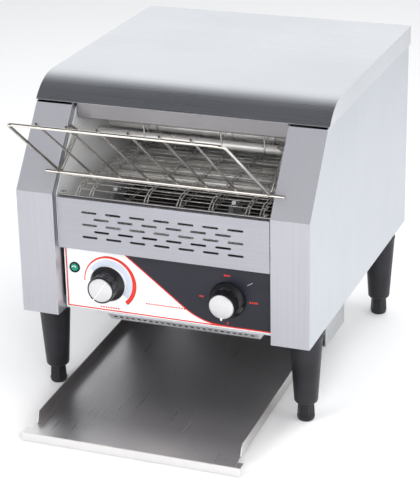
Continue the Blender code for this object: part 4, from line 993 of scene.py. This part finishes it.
def heater_clips(name, centre):
    """Wire clips that hang a tube from the reflector above it."""
    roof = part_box("upper_reflector")[1].z - 0.002
    radius, spread_y = 0.0064, 0.010
    turns = [math.radians(-130 + 26 * i) for i in range(11)]
    clips = []
    for x in (-0.070, 0.030, 0.085):
        ring = [Vector((x, centre.y + radius * math.sin(a), centre.z - radius * math.cos(a))) for a in turns]
        ends = [Vector((x, centre.y + side * spread_y, roof)) for side in SIDES]
        clips.append([ends[0]] + ring + [ends[1]])
    rode(wires(name + "_clips", clips, 0.0009, BELT_WIRE, 2), CASING, "chromed_wire")


def heater(name):
    """Sheathed tube with ceramic ends and pins, and wire clips if it hangs above the belt."""
    low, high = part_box(name)
    centre = (low + high) / 2
    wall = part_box("right_inner_wall")[1].x + 0.0008
    tube_profile = [(0.0, wall - 0.001), (0.0052, wall - 0.001), (HEATER_RADIUS, wall - 0.002),
                    (HEATER_RADIUS, -wall + 0.002), (0.0052, -wall + 0.001), (0.0, -wall + 0.001)]
    tube = turned(name + "_tube", tube_profile, (0.0, centre.y, centre.z), "X", SHEATH)
    rode(tube, CASING, "heater_tube", name)
    end = [(0.0, 0.0190), (0.0018, 0.0188), (0.0018, 0.0118), (0.0078, 0.0118), (0.0085, 0.0108),
           (0.0085, 0.0010), (0.0078, 0.0), (0.0, 0.0)]
    for side, hand in zip(SIDES, ("left", "right")):
        profile = [(radius, side * height) for radius, height in end]
        start = Vector((side * wall, centre.y, centre.z))
        rode(turned(f"{name}_end_{hand}", profile, start, "X", CERAMIC, 32), CASING, "ceramic")
    if name.startswith("upper"):
        heater_clips(name, centre)


wire_belt()
for entry in frame["record"]["subparts"]:
    if "_heater_" in entry["node"]:
        heater(entry["node"])

# ---------------------------------------------------------------- fasteners


def screw(name, place, axis):
    """Pan-head screw with a cross recess."""
    dome = [(0.0, 0.0019), (0.0014, 0.0018), (0.0026, 0.0013), (0.0033, 0.0005), (0.0034, 0.0), (0.0, 0.0)]
    head = turned(name, dome, (0, 0, 0), "Z", SHAFT_STEEL, 24)
    long, narrow, z = 0.0018, 0.0003, 0.0009
    bars = [prism("bar", [(-a, -b, z), (a, -b, z), (a, b, z), (-a, b, z)], (0, 0, 0.002))
            for a, b in ((long, narrow), (narrow, long))]
    cut(head, bars)
    head.data.transform(Matrix.Translation(place) @ AXES[axis])
    head.data.shade_smooth()
    head.data.set_sharp_from_angle(angle=math.radians(35))
    return rode(head, CASING, "zinc_steel")


rear_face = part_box("rear_panel")[1].y
for side, hand in zip(SIDES, ("left", "right")):
    screw(f"entry_screw_{hand}", Vector((side * 0.1262, row_y(SHELF_FRONT), 0.2700)), "Z")
    for level, z in enumerate((0.125, 0.215, 0.305, 0.372)):
        screw(f"rear_screw_{hand}_{level}", Vector((side * 0.1700, rear_face, z)), "-Y")

# ---------------------------------------------------------------- stage, light and camera


LIGHTS = (("key", (-1.6, -1.8, 2.2), 34.0, 1.6), ("fill", (2.2, -0.6, 1.6), 20.0, 1.8),
          ("top", (0.2, 0.6, 2.6), 30.0, 2.0), ("front", (1.0, -2.0, 1.2), 30.0, 1.2),
          ("low", (-0.85, -2.35, 0.82), 9.0, 1.2))
DARK_WAY = Vector((-0.33, -0.60, 0.73)).normalized()


def paper_floor():
    """Wide sheet of pale paper."""
    shape = bmesh.new()
    bmesh.ops.create_grid(shape, x_segments=2, y_segments=2, size=9.0)
    paper = Paint("floor_paper", (0.93, 0.93, 0.93), 0.0, 0.8)
    paper.bump(paper.noise(90.0), 0.02)
    floor = piece_of("floor", shape, paper.material)


def surroundings():
    """Bright all round, with one soft dark area high in front for the cover's edge to reflect."""
    world = bpy.data.worlds.new("studio")
    bpy.context.scene.world = world
    world.use_nodes = True
    tree = world.node_tree
    place = tree.nodes.new("ShaderNodeTexCoord")
    toward = tree.nodes.new("ShaderNodeVectorMath")
    ramp = tree.nodes.new("ShaderNodeValToRGB")
    toward.operation = "DOT_PRODUCT"
    toward.inputs[1].default_value = DARK_WAY
    tree.links.new(place.outputs["Generated"], toward.inputs[0])
    tree.links.new(toward.outputs["Value"], ramp.inputs[0])
    tree.links.new(ramp.outputs["Color"], tree.nodes["Background"].inputs["Color"])
    tones = ((0.15, (0.98, 0.99, 1.0, 1.0)), (0.62, (0.12, 0.12, 0.13, 1.0)))
    for element, (position, tone) in zip(ramp.color_ramp.elements, tones):
        element.position = position
        element.color = tone
    tree.nodes["Background"].inputs["Strength"].default_value = 1.16


def lights():
    """Soft area lights; only the low one is seen in reflections."""
    for name, place, energy, size in LIGHTS:
        light = bpy.data.lights.new(name, "AREA")
        light.energy = energy
        light.size = size
        lamp = bpy.data.objects.new(name, light)
        lamp.location = place
        aim = Vector((0, 0, 0.2)) - Vector(place)
        lamp.rotation_euler = aim.to_track_quat("-Z", "Y").to_euler()
        lamp.visible_glossy = name == "low"
        bpy.context.scene.collection.objects.link(lamp)


def view():
    """Camera at the operator's right, above the counter."""
    lens = bpy.data.cameras.new("camera")
    lens.sensor_width = 36.0
    lens.lens = 128.6
    lens.clip_end = 40.0
    camera = bpy.data.objects.new("camera", lens)
    camera.location = (0.7227, row_y(-1.7169), 0.9828)
    camera.rotation_euler = (1.1839, 0.0188, 0.3594)
    bpy.context.scene.collection.objects.link(camera)
    bpy.context.scene.camera = camera
    bpy.context.scene.view_settings.view_transform = "Standard"


paper_floor()
surroundings()
lights()
view()
